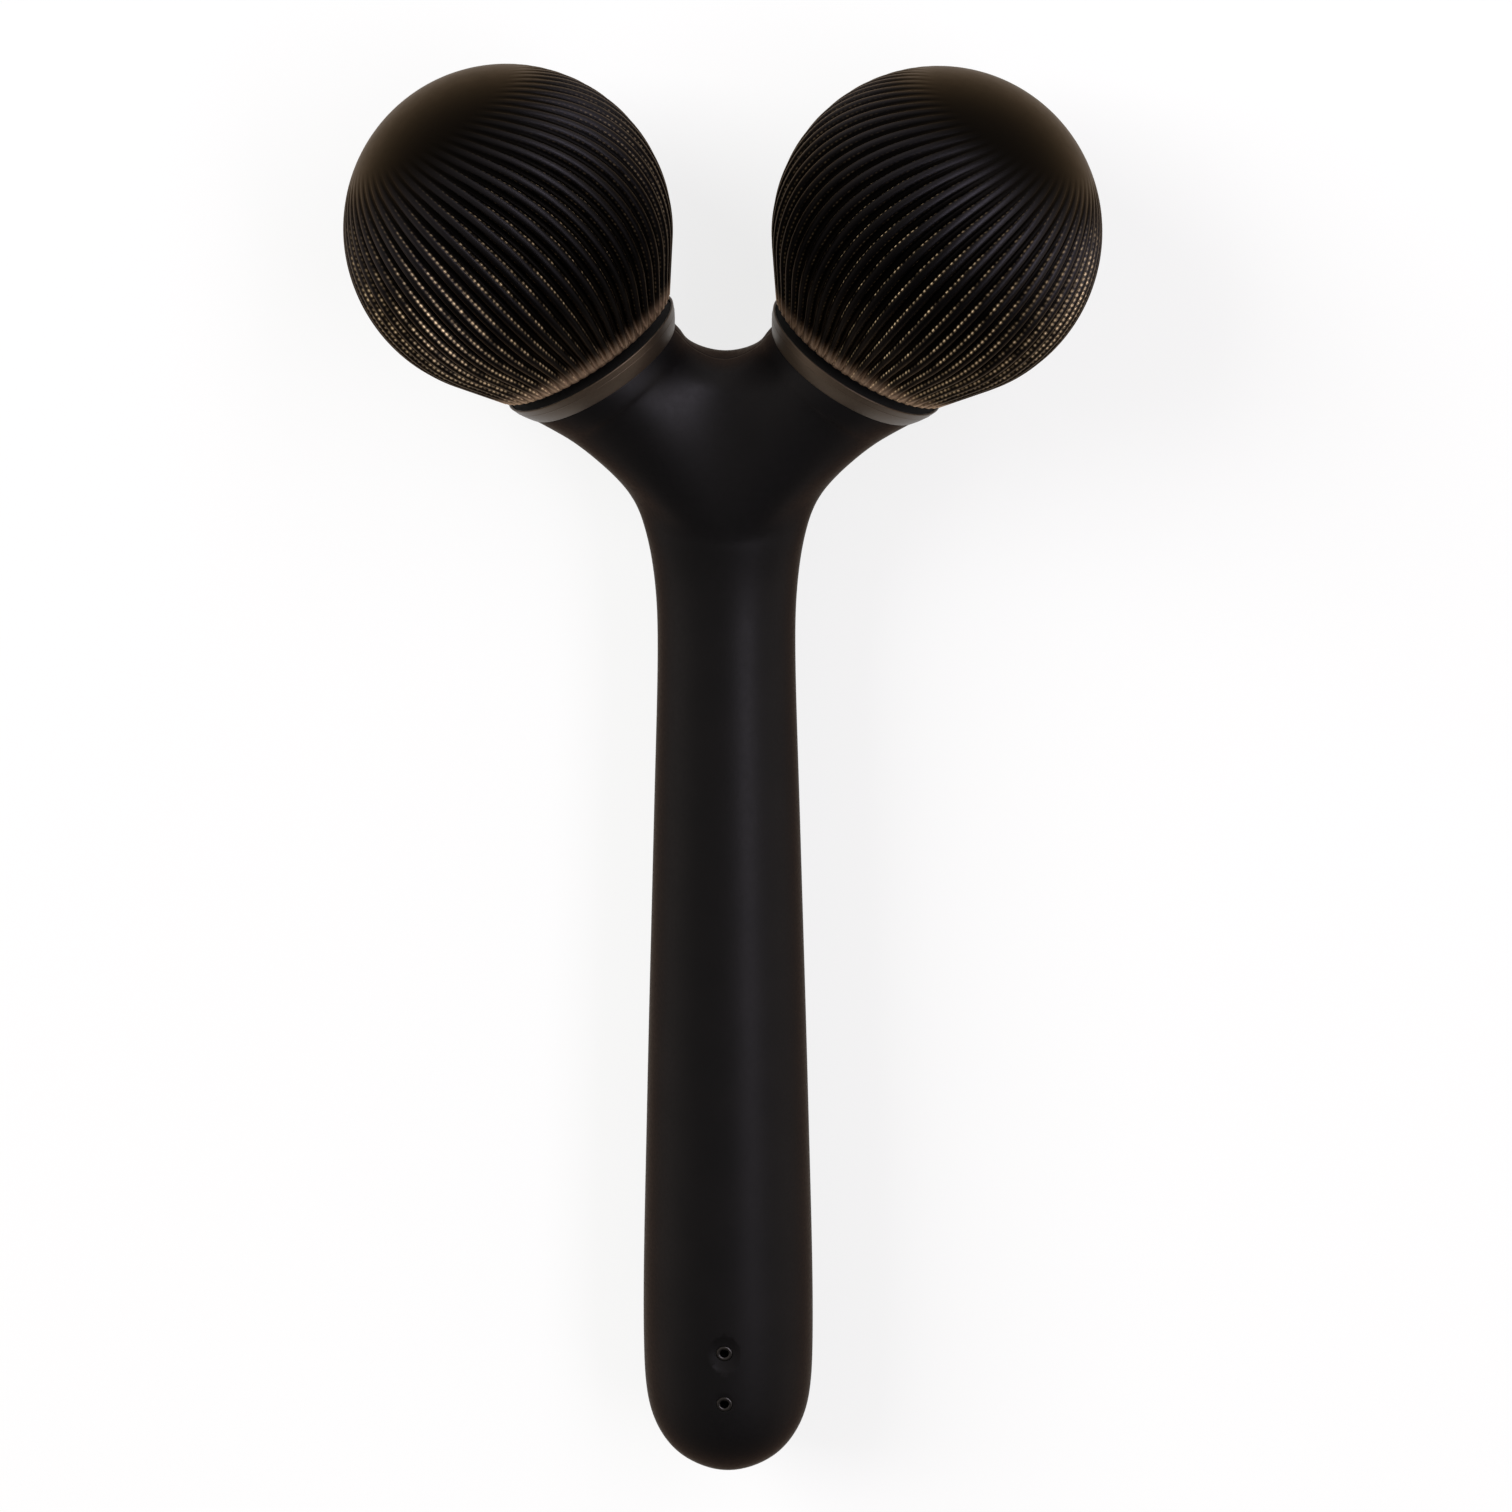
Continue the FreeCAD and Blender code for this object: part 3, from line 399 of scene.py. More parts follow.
def bent(point):
    """A point of the flat body, in millimetres, as its place in the frame."""
    arc_radius = 2 * BEND / head_tilt
    turn = head_tilt * min(max((point.y + BEND) / (2 * BEND), 0), 1)
    past = max(point.y - BEND, 0)
    reach = min(point.y, -BEND) + arc_radius * math.sin(turn) + past * math.cos(turn)
    rise = arc_radius * (1 - math.cos(turn)) + past * math.sin(turn)
    return fork + MM * Vector((point.x, reach - point.z * math.sin(turn), rise + point.z * math.cos(turn)))


print("bend over %.1f mm, up by %.2f degrees" % (2 * BEND, math.degrees(head_tilt)))

# %% Part the skin into shells
SHELL_WALL = 1.5 * MM
SEAM_EDGE = 0.10 * MM
SEAM_ANGLE = math.radians(50)  # only edges sharper than this are broken


def half_shell(name, sign):
    """One half of the body as a walled shell."""
    form = bmesh.new()
    form.from_mesh(body.data)
    other = [face for face in form.faces if face.calc_center_median().z * sign < 0]
    bmesh.ops.delete(form, geom=other, context="FACES")
    for corner in form.verts:
        corner.co = bent(corner.co)
    mesh = bpy.data.meshes.new(name)
    form.to_mesh(mesh)
    form.free()
    piece = bpy.data.objects.new(name, mesh)
    bpy.context.scene.collection.objects.link(piece)
    wall = piece.modifiers.new("wall", "SOLIDIFY")
    wall.thickness = SHELL_WALL
    wall.offset = -1
    wall.use_even_offset = True
    edge = piece.modifiers.new("seam_edge", "BEVEL")
    edge.width = SEAM_EDGE
    edge.segments = 2
    edge.limit_method = "ANGLE"
    edge.angle_limit = SEAM_ANGLE
    return baked(piece)


back_skin = half_shell("back_shell_skin", 1)
front_skin = half_shell("front_shell_skin", -1)
bpy.data.objects.remove(body)
print("shells", triangles(back_skin), triangles(front_skin))

# %% [markdown]
# ## Lathe-turned pieces
#
# Collars, charging contacts and hole cutters are all turned shapes. A lathe only needs a profile of radius
# and height; corners that a real tool would break are rounded in the profile itself, which costs no modifier.

# %% A lathe with rounded corners
TURNS = 96
CORNER_SHARE = 0.45  # the most of a side that one rounded corner may take
THIN_EDGE = 0.0002 * MM  # edges shorter than this are dissolved


def rounded(profile, corner_radius, steps=4):
    """The closed profile with each of its corners eased by a short curve."""
    points = []
    for before, here, after in zip(profile[-1:] + profile[:-1], profile, profile[1:] + profile[:1]):
        here = Vector(here)
        back, on = Vector(before) - here, Vector(after) - here
        setback = min(corner_radius, back.length * CORNER_SHARE, on.length * CORNER_SHARE)
        first, last = here + back.normalized() * setback, here + on.normalized() * setback
        for step in range(steps + 1):
            share = step / steps
            points.append(first * (1 - share) ** 2 + here * (2 * share * (1 - share)) + last * share ** 2)
    return [(max(point.x, 0.0), point.y) for point in points]


def lathe(name, profile, place, turns=TURNS):
    """A closed profile of radius and height, in metres, turned round the Z axis and put in its place."""
    points, faces = [], []
    count = len(profile)
    for turn in range(turns):
        angle = 2 * math.pi * turn / turns
        points += [place @ Vector((radius * math.cos(angle), radius * math.sin(angle), height))
                   for radius, height in profile]
        for step in range(count):
            here, beside = turn * count, (turn + 1) % turns * count
            after = (step + 1) % count
            faces.append((here + step, here + after, beside + after, beside + step))
    piece = new_piece(name, points, faces)
    form = bmesh.new()
    form.from_mesh(piece.data)
    bmesh.ops.dissolve_degenerate(form, edges=form.edges, dist=THIN_EDGE)
    form.to_mesh(piece.data)
    form.free()
    return smooth(piece)


def arm_place(side, reach):
    """A place on an arm, with Z along the arm and X towards the other arm."""
    along = axis[side]
    over = Matrix.Rotation(head_tilt, 3, "X") @ Vector((0, 0, 1))
    out = over.cross(along) * (1 if side == "right" else -1)
    turn = Matrix((out, along.cross(out), along)).transposed()
    return Matrix.Translation(fork + along * reach) @ turn.to_4x4()


print("lathe ready,", TURNS, "turns")

# %% [markdown]
# ## Charging contacts
#
# Two small metal cups sit in the back shell near the butt end, one above the other. Each is a turned rivet
# with a dim rolled rim and a dark round recess. The shell needs a hole for each and a shallow dish round
# it, which a boolean cuts; a boolean is fine here because its edge is a real edge.

# %% Contact finish
TURNING_MARKS = 0.3 * MM  # real marks are finer; drawn coarser so that they show


def plated_brass():
    """Nickel-flashed brass, dulled by use: a dark grey metal with fine turning marks."""
    finish, tree, shader = new_finish("nickel_flashed_turned_brass", Metallic=1.0, Roughness=0.28)
    where = add_node(tree, "ShaderNodeTexCoord")
    marks = add_node(tree, "ShaderNodeTexNoise", {
        "Vector": where.outputs["Object"], "Scale": 1 / TURNING_MARKS, "Detail": 2.0})
    tone = add_node(tree, "ShaderNodeMix", {
        "Factor": marks.outputs["Fac"], "A": linear("#3a3939"), "B": linear("#4a4848")}, data_type="RGBA")
    relief = add_node(tree, "ShaderNodeBump", {
        "Height": marks.outputs["Fac"], "Strength": 0.2, "Distance": 0.01 * MM})
    tree.links.new(tone.outputs["Result"], shader.inputs["Base Color"])
    tree.links.new(relief.outputs["Normal"], shader.inputs["Normal"])
    return finish


contact_finish = plated_brass()
print("finish", contact_finish.name)

# %% Contacts, their holes and the shallow dishes round them
CONTACT_RECESS = 0.5 * MM
CONTACT_RECESS_DEPTH = 1.6 * MM
CONTACT_PIN = 0.45 * MM
CONTACT_CUP = 3.2 * MM
RIM_ROUNDING = 0.16 * MM
HOLE_PLAY = 0.04 * MM
DISH_DEPTH = 0.14 * MM
DISH_REACH = {"lower": 1.15 * MM, "upper": 1.4 * MM}
DISH_STEPS = 32
CONTACT_TURNS = 48
DISH_TURNS = 64


def cut_away(piece, cutter):
    """Takes the cutter out of the piece and removes the cutter."""
    cut = piece.modifiers.new("cut", "BOOLEAN")
    cut.operation = "DIFFERENCE"
    cut.solver = "EXACT"
    cut.object = cutter
    baked(piece)
    bpy.data.objects.remove(cutter)


for name in ("lower", "upper"):
    low, high = (Vector(corner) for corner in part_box("contact_" + name))
    middle = (low + high) / 2
    radius = (high.x - low.x) / 2
    place = Matrix.Translation((middle.x, middle.y, high.z))
    foot = low.z - high.z
    cup = rounded([(0.0, foot), (CONTACT_PIN, foot), (CONTACT_PIN, -CONTACT_CUP), (radius, -CONTACT_CUP),
                   (radius, 0.0), (CONTACT_RECESS, 0.0), (CONTACT_RECESS, -CONTACT_RECESS_DEPTH),
                   (0.0, -CONTACT_RECESS_DEPTH - CONTACT_RECESS / 2)], RIM_ROUNDING)
    contact = lathe("contact_cup_" + name, cup, place, turns=CONTACT_TURNS)
    hole = radius + HOLE_PLAY
    drill = [(0.0, -CONTACT_CUP), (hole, -CONTACT_CUP), (hole, CONTACT_CUP), (0.0, CONTACT_CUP)]
    cut_away(back_skin, lathe("drill", drill, place, turns=CONTACT_TURNS))
    dish_radius = (DISH_REACH[name] ** 2 + DISH_DEPTH ** 2) / (2 * DISH_DEPTH)
    dish = []
    for step in range(DISH_STEPS + 1):
        angle = math.pi * step / DISH_STEPS
        dish.append((dish_radius * math.sin(angle), dish_radius - DISH_DEPTH - dish_radius * math.cos(angle)))
    cut_away(back_skin, lathe("dish", dish, place, turns=DISH_TURNS))
    wear_piece(contact, contact_finish, "handle", "contact_metal", "contact_" + name)

# %% [markdown]
# ## Power button
#
# A small round button lies flush in the front shell, on the side that faces the table. Its cap follows the
# handle's curve, so it can't be a plain turned disc: rings of points are laid on the handle's surface, eased
# down at the edge, and hollowed a little where the thumb presses.

# %% Rings of the button cap
BUTTON_RADIUS = 3.0 * MM
BUTTON_HOLLOW = 0.25 * MM
BUTTON_EDGE = 0.3 * MM
CAP_SHARES = (0.0, 0.2, 0.4, 0.6, 0.8, 0.92, 1.0)  # rings from the middle to where the edge begins
EDGE_ANGLES = (22, 45, 68, 90)  # degrees round the eased edge
CAP_SPOKES = 64

button_low, button_high = (Vector(corner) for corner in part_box("power_button"))
button_middle = (button_low + button_high) / 2
cap_crown = fork.z - button_low.z


def handle_drop(x):
    """How far below the handle's axis its surface lies, beside the middle plane."""
    return math.sqrt(cap_crown ** 2 - x ** 2)


cap_points, cap_faces = [], []
cap_rings = [(share * (BUTTON_RADIUS - BUTTON_EDGE), BUTTON_HOLLOW * (1 - share ** 2))
             for share in CAP_SHARES]
cap_rings += [(BUTTON_RADIUS - BUTTON_EDGE * (1 - math.sin(turn)), BUTTON_EDGE * (1 - math.cos(turn)))
              for turn in map(math.radians, EDGE_ANGLES)]
for radius, sunk in cap_rings:
    for spoke in range(CAP_SPOKES):
        angle = 2 * math.pi * spoke / CAP_SPOKES
        x, y = radius * math.cos(angle), radius * math.sin(angle)
        cap_points.append(Vector((button_middle.x + x, button_middle.y + y, fork.z - handle_drop(x) + sunk)))
for radius in (BUTTON_RADIUS, 0.0):
    for spoke in range(CAP_SPOKES):
        angle = 2 * math.pi * spoke / CAP_SPOKES
        cap_points.append(Vector((button_middle.x + radius * math.cos(angle),
                                  button_middle.y + radius * math.sin(angle), button_high.z)))
print(len(cap_points), "points on the button cap")

# %% Close the cap and cut its opening
BUTTON_GAP = 0.3 * MM
OPENING_REACH = 6 * MM  # how far the cutter goes up and down from the button's middle
OPENING_TURNS = 64
for ring in range(len(cap_points) // CAP_SPOKES - 1):
    for spoke in range(CAP_SPOKES):
        here, after = ring * CAP_SPOKES + spoke, ring * CAP_SPOKES + (spoke + 1) % CAP_SPOKES
        cap_faces.append((here, after, after + CAP_SPOKES, here + CAP_SPOKES))
button_cap = smooth(new_piece("button_cap", cap_points, cap_faces))
opening = BUTTON_RADIUS + BUTTON_GAP
opening_profile = [(0.0, -OPENING_REACH), (opening, -OPENING_REACH),
                   (opening, OPENING_REACH), (0.0, OPENING_REACH)]
cutter = lathe("opening", opening_profile, Matrix.Translation(button_middle), turns=OPENING_TURNS)
cut_away(front_skin, cutter)
wear_piece(button_cap, button_finish, "power_button", "button_black", "power_button")

# %% The shells are complete
for piece, node in ((back_skin, "back_shell"), (front_skin, "front_shell")):
    smooth(piece)
    wear_piece(piece, shell_finish, "handle", "shell_black", node)

# %% [markdown]
# ## Collars
#
# A flared metal ring closes each arm. It is turned from aluminium, blasted to a satin face and anodised in a
# dull taupe, so it has crisp edges and a soft even shine. It keeps to the CAD ring at the root, stays a hair
# inside it at the mouth, and its flank is slightly full, as a form tool leaves it. A groove in the face holds
# a dead black ring, painted shade that makes the gap towards the ball read as a dark line. Both are turned,
# so the lathe makes them.

# %% Collar finish
BLAST_GRAIN = 0.30 * MM  # real blasting is near 0.08 mm; drawn coarser so that it shows


def anodised_aluminium():
    """Bead-blasted, taupe-anodised aluminium: an even satin shine with a fine sparkle."""
    finish, tree, shader = new_finish("bead_blasted_anodised_aluminium", Metallic=0.85)
    where = add_node(tree, "ShaderNodeTexCoord")
    blast = add_node(tree, "ShaderNodeTexNoise", {
        "Vector": where.outputs["Object"], "Scale": 1 / BLAST_GRAIN, "Detail": 3.0})
    tone = add_node(tree, "ShaderNodeMix", {
        "Factor": blast.outputs["Fac"], "A": linear("#4a4036"), "B": linear("#584c40")}, data_type="RGBA")
    rough = add_node(tree, "ShaderNodeMapRange", {
        "Value": blast.outputs["Fac"], "To Min": 0.36, "To Max": 0.52})
    relief = add_node(tree, "ShaderNodeBump", {
        "Height": blast.outputs["Fac"], "Strength": 0.3, "Distance": GRAIN_RELIEF})
    tree.links.new(tone.outputs["Result"], shader.inputs["Base Color"])
    tree.links.new(rough.outputs["Result"], shader.inputs["Roughness"])
    tree.links.new(relief.outputs["Normal"], shader.inputs["Normal"])
    return finish


collar_finish = anodised_aluminium()
print("finish", collar_finish.name)

# %% Turn the collars
COLLAR_ROOT = 9.0 * MM
COLLAR_MOUTH = 10.28 * MM
COLLAR_FULLNESS = 0.12 * MM
COLLAR_BORE = 2.4 * MM
COLLAR_EDGE = 0.14 * MM
FACE_RIM = 0.3 * MM  # width of the rim round the face's groove
FACE_GROOVE = 0.9 * MM  # depth of that groove
FACE_HUB = 6.2 * MM  # radius inside it
FLANK_STEPS = 8
collar_height = collar_face - arm_end
flank = []
for step in range(1, FLANK_STEPS):
    share = step / FLANK_STEPS
    swell = COLLAR_FULLNESS * math.sin(math.pi * share)
    flank.append((COLLAR_ROOT + (COLLAR_MOUTH - COLLAR_ROOT) * share + swell, collar_height * share))
collar_profile = rounded(
    [(COLLAR_BORE, 0.0), (COLLAR_ROOT, 0.0)] + flank + [
        (COLLAR_MOUTH, collar_height), (COLLAR_MOUTH - FACE_RIM, collar_height),
        (COLLAR_MOUTH - FACE_RIM, collar_height - FACE_GROOVE), (FACE_HUB, collar_height - FACE_GROOVE),
        (FACE_HUB, collar_height), (COLLAR_BORE, collar_height)],
    COLLAR_EDGE)
for side in SIDES:
    collar = lathe("collar_ring_" + side, collar_profile, arm_place(side, arm_end))
    wear_piece(collar, collar_finish, "handle", "collar_taupe", "collar_" + side)

# %% Black rings in the collar faces: painted shade in the gap
SHADE_RING_SUNK = 0.2 * MM  # below the collar's face
SHADE_RING_PLAY = 0.02 * MM  # round the ring, in its groove
# painted shade: a dead, matte black ring that stands in for the shadow in the gap towards the ball
shade_ring_finish = grained("black_ring_painted_shade", "#050505", "#0a0a0a", 0.4, 0.9, 0.2)
shade_ring_low, shade_ring_high = collar_height - FACE_GROOVE + SHADE_RING_PLAY, collar_height - SHADE_RING_SUNK
shade_ring_in, shade_ring_out = FACE_HUB + SHADE_RING_PLAY, COLLAR_MOUTH - FACE_RIM - SHADE_RING_PLAY
shade_ring_profile = rounded(
    [(shade_ring_in, shade_ring_low), (shade_ring_out, shade_ring_low), (shade_ring_out, shade_ring_high), (shade_ring_in, shade_ring_high)], COLLAR_EDGE)
for side in SIDES:
    shade_ring = lathe("painted_shade_ring_" + side, shade_ring_profile, arm_place(side, arm_end))
    wear_piece(shade_ring, shade_ring_finish, "handle", "washer_black")

# %% [markdown]
# ## Ribbed balls
#
# Each ball is round at the tip and runs out into a short straight skirt that meets its collar flush. Sixty
# cord-like ribs run from the base towards the tip. They start straight, sweep round like a turbine near the
# tip, and die out in a smooth cap. The ribs are all alike, so one slice is modelled with its groove, shoulder
# and fade, and Geometry Nodes sets sixty of them round the axis and welds them.

# %% Black bronze plating with painted highlights, shade, glints and a warm reflection
GLINT_PITCH = 0.55 * MM  # from bead to bead of the painted glints along a rib
GLINT_AND_GLOSS_PATCH = 1.3 * MM  # width of the patches in which the painted glints are stronger and the roughness varies


def black_bronze():
    """Black bronze with painted light: highlights on ridge tops and in glint beads, shade in grooves, a warm skirt
    reflection.
    """
    finish, tree, shader = new_finish("black_bronze_on_abs_with_painted_light", Specular_Tint=linear("#f0dfcf"))
    where = add_node(tree, "ShaderNodeTexCoord")
    shoulder = add_node(tree, "ShaderNodeAttribute", attribute_name="shoulder")
    skirt = add_node(tree, "ShaderNodeAttribute", attribute_name="skirt_painted_reflection")
    rib_shading = add_node(tree, "ShaderNodeAttribute", attribute_name="rib_shading")
    along = add_node(tree, "ShaderNodeSeparateXYZ", {"Vector": where.outputs["UV"]})
    phase = add_node(tree, "ShaderNodeMath", {
        0: along.outputs["Y"], 1: 2 * math.pi * MM / GLINT_PITCH}, operation="MULTIPLY")
    bead = add_node(tree, "ShaderNodeMath", {0: phase.outputs["Value"]}, operation="SINE")
    patch = add_node(tree, "ShaderNodeTexNoise", {
        "Vector": where.outputs["Object"], "Scale": 1 / GLINT_AND_GLOSS_PATCH, "Detail": 3.0, "Roughness": 0.65})
    lift = add_node(tree, "ShaderNodeMapRange", {
        "Value": bead.outputs["Value"], "From Min": -0.6, "From Max": 0.8, "To Min": 0.12})
    glint_strength = add_node(tree, "ShaderNodeMapRange", {
        "Value": patch.outputs["Fac"], "From Min": 0.40, "From Max": 0.60, "To Min": 0.10})
    glint_beads = add_node(tree, "ShaderNodeMath", {
        0: lift.outputs["Result"], 1: glint_strength.outputs["Result"]}, operation="MULTIPLY")
    # painted highlight: pale glints in beads along one shoulder of each rib, mostly towards the base
    painted_glint = add_node(tree, "ShaderNodeMath", {
        0: glint_beads.outputs["Value"], 1: shoulder.outputs["Fac"]}, operation="MULTIPLY")
    # painted highlight and shade: ridge tops lighter, grooves darker
    black = add_node(tree, "ShaderNodeMix", {
        "Factor": rib_shading.outputs["Fac"], "A": linear("#090807"), "B": linear("#323135")}, data_type="RGBA")
    # painted reflection: the skirt near the base turns a warm beige, a painted reflection of the collar and the
    # sheet
    warm = add_node(tree, "ShaderNodeMix", {
        "Factor": skirt.outputs["Fac"], "A": black.outputs["Result"],
        "B": linear("#ac917a")}, data_type="RGBA")
    tone = add_node(tree, "ShaderNodeMix", {
        "Factor": painted_glint.outputs["Value"], "A": warm.outputs["Result"],
        "B": linear("#f2d6aa")}, data_type="RGBA")
    rough = add_node(tree, "ShaderNodeMapRange", {
        "Value": patch.outputs["Fac"], "To Min": 0.40, "To Max": 0.50})
    # the painted glints lose some metal, so that they show from every side
    metal = add_node(tree, "ShaderNodeMapRange", {
        "Value": painted_glint.outputs["Value"], "To Min": 1.0, "To Max": 0.35})
    tree.links.new(tone.outputs["Result"], shader.inputs["Base Color"])
    tree.links.new(rough.outputs["Result"], shader.inputs["Roughness"])
    tree.links.new(metal.outputs["Result"], shader.inputs["Metallic"])
    return finish


ball_finish = black_bronze()
print("finish", ball_finish.name)

# %% The ball's outline, from the CAD ball
ON_BASE = 0.01 * MM  # points nearer the base than this lie on it


def base_edge():
    """Radius of the ball's flat base, at the end of its skirt."""
    radii = []
    for vertex in frame["nodes"]["ball_right"].data.vertices:
        reach = (vertex.co - fork).dot(axis["right"])
        if reach < arm_length - ball_base + ON_BASE:
            radii.append((vertex.co - fork - reach * axis["right"]).length)
    return max(radii)


base_radius = base_edge()
base_reach = math.hypot(base_radius, ball_base)
skirt_angle = math.pi - math.atan2(base_radius, ball_base) - math.acos(ball_radius / base_reach)
round_run = ball_radius * skirt_angle
full_run = round_run + math.sqrt(base_reach ** 2 - ball_radius ** 2)


def outline(run):
    """Radius and height of the outline at a run from the tip, and the angle of its outward direction."""
    angle = min(run / ball_radius, skirt_angle)
    past = max(run - round_run, 0.0)
    radius = ball_radius * math.sin(angle) + past * math.cos(angle)
    return radius, ball_radius * math.cos(angle) - past * math.sin(angle), angle


print("base radius %.2f mm, skirt from %.1f degrees, run %.2f mm" % (
    base_radius / MM, math.degrees(skirt_angle), full_run / MM))

# %% One rib slice: what changes across a rib
RIBS = 60
RIB_DEPTH = 0.65 * MM
GROOVE_SHADE = 0.3  # how much of the painted reflection on the skirt the grooves lose: painted shade in the grooves
RIDGE_SHADE_BY_GLINTS = 0.85  # how much of the painted ridge highlight turns to painted shade where the painted glints come in
# place in the pitch, depth of the groove, strength of the painted glint on the shoulder
RIB_PROFILE = [(0.0, 1.0, 0.0), (0.09, 0.97, 0.0), (0.16, 0.83, 0.0), (0.205, 0.60, 0.1), (0.24, 0.40, 1.0),
               (0.275, 0.26, 0.2), (0.33, 0.11, 0.0), (0.41, 0.02, 0.0), (0.5, 0.0, 0.0), (0.59, 0.02, 0.0),
               (0.67, 0.11, 0.0), (0.725, 0.26, 0.0), (0.76, 0.40, 0.15), (0.795, 0.60, 0.0),
               (0.84, 0.83, 0.0), (0.91, 0.97, 0.0), (1.0, 1.0, 0.0)]
slice_points, slice_glint, slice_rib_shading, slice_skirt_reflection, slice_uv = [], [], [], [], []


def slice_row(radius, height, angle, sweep=0.0, fade=0.0, base_ramp=0.0, glint=0.0, run=0.0):
    """One row of points across the rib, cut into the outline along its outward direction."""
    for place, depth, glint_strength in RIB_PROFILE:
        turn = (place - 0.5) * 2 * math.pi / RIBS + sweep
        sunk = RIB_DEPTH * fade * depth
        ring = radius - sunk * math.sin(angle)
        level = height - sunk * math.cos(angle)
        slice_points.append(Vector((ring * math.cos(turn), ring * math.sin(turn), level)))
        # painted highlight: the glint on the shoulder, stronger towards the base
        slice_glint.append(glint_strength * glint)
        # painted highlight on the ridge tops, painted shade in the grooves; the ridges darken where the painted
        # glints come in
        slice_rib_shading.append(fade * (1 - depth) * (1 - RIDGE_SHADE_BY_GLINTS * glint))
        # painted reflection on the skirt, with painted shade in the grooves
        slice_skirt_reflection.append(base_ramp * (1 - GROOVE_SHADE * depth))
        slice_uv.append((place, run / MM))


print("rib profile of", len(RIB_PROFILE), "points")

# %% The slice's rows: what changes along a rib
CAP_ANGLE = math.radians(33)  # ribs fade in between these two angles from the tip
FULL_ANGLE = math.radians(74)
GLINT_START = math.radians(42)  # painted glints come in between these two angles from the tip
GLINT_FULL = math.radians(90)
SWEEP = math.radians(83)  # how far a rib would turn round the ball, up to the very tip
SWEEP_POWER = 4.6  # how late that turn sets in
BASE_DEPTH_SHARE = 0.12  # the grooves run out towards the base
BASE_ROUNDING = 0.35 * MM
BASE_RAMP_RUN = 3.0 * MM  # length of the ramp at the base: the painted warm reflection on the skirt, and the grooves' run-out
BALL_WALL = 2.0 * MM
MOUTH_RADIUS = 7.02 * MM
OUTSIDE_ROWS = 84
INSIDE_ROWS = 8
ROW_SHIFT = 0.1  # draws the rows together towards the tip


def ease(share):
    """A soft start and end between 0 and 1."""
    share = min(max(share, 0.0), 1.0)
    return share * share * (3 - 2 * share)


for step in range(1, OUTSIDE_ROWS + 1):
    share = step / OUTSIDE_ROWS
    run = full_run * (share - ROW_SHIFT * math.sin(math.pi * share) * (1 - share))
    radius, height, angle = outline(run)
    from_tip = run / ball_radius
    lip = max(1 - (full_run - run) / BASE_ROUNDING, 0.0)
    eased = BASE_ROUNDING * (1 - math.sqrt(1 - lip ** 2))
    # ramp towards the base: it drives the painted warm reflection on the skirt and the grooves' run-out
    base_ramp = ease(1 - (full_run - run) / BASE_RAMP_RUN)
    fade = ease((from_tip - CAP_ANGLE) / (FULL_ANGLE - CAP_ANGLE)) * (1 - base_ramp * (1 - BASE_DEPTH_SHARE))
    slice_row(radius - eased * math.sin(angle), height - eased * math.cos(angle), angle,
              sweep=SWEEP * ((math.pi - from_tip) / math.pi) ** SWEEP_POWER, fade=fade, base_ramp=base_ramp,
              glint=ease((from_tip - GLINT_START) / (GLINT_FULL - GLINT_START)), run=run)
slice_row(MOUTH_RADIUS, -ball_base, math.pi)
inside = ball_radius - BALL_WALL
inside_mouth = math.pi - math.asin(MOUTH_RADIUS / inside)
for step in range(INSIDE_ROWS, 0, -1):
    angle = inside_mouth * step / INSIDE_ROWS
    slice_row(inside * math.sin(angle), inside * math.cos(angle), angle)
print(len(slice_points), "points in a slice")

# %% Build the slice mesh with its run along the rib and the masks of its painted glints, shading and skirt reflection
width = len(RIB_PROFILE)
slice_faces = []
for row in range(len(slice_points) // width - 1):
    for column in range(width - 1):
        here = row * width + column
        slice_faces.append((here, here + width, here + width + 1, here + 1))
tip = len(slice_points)
slice_points += [Vector((0, 0, ball_radius)), Vector((0, 0, inside))]
slice_glint += [0.0, 0.0]
slice_rib_shading += [0.0, 0.0]
slice_skirt_reflection += [0.0, 0.0]
slice_uv += [(0.5, 0.0), (0.5, 0.0)]
last = tip - width
for column in range(width - 1):
    slice_faces.append((tip, column, column + 1))
    slice_faces.append((tip + 1, last + column + 1, last + column))

rib_mesh = bpy.data.meshes.new("rib_slice")
rib_mesh.from_pydata(slice_points, [], slice_faces)
for name, values in (("shoulder", slice_glint), ("rib_shading", slice_rib_shading), ("skirt_painted_reflection", slice_skirt_reflection)):
    rib_mesh.attributes.new(name, "FLOAT", "POINT").data.foreach_set("value", values)
rib_map = rib_mesh.uv_layers.new(name="rib_map")
for corner in rib_mesh.loops:
    rib_map.data[corner.index].uv = slice_uv[corner.vertex_index]
print("slice of", len(slice_faces), "faces")

# %% A node tree that sets the slices round the axis
WELD = 0.0008 * MM  # points of neighbouring slices closer than this are joined


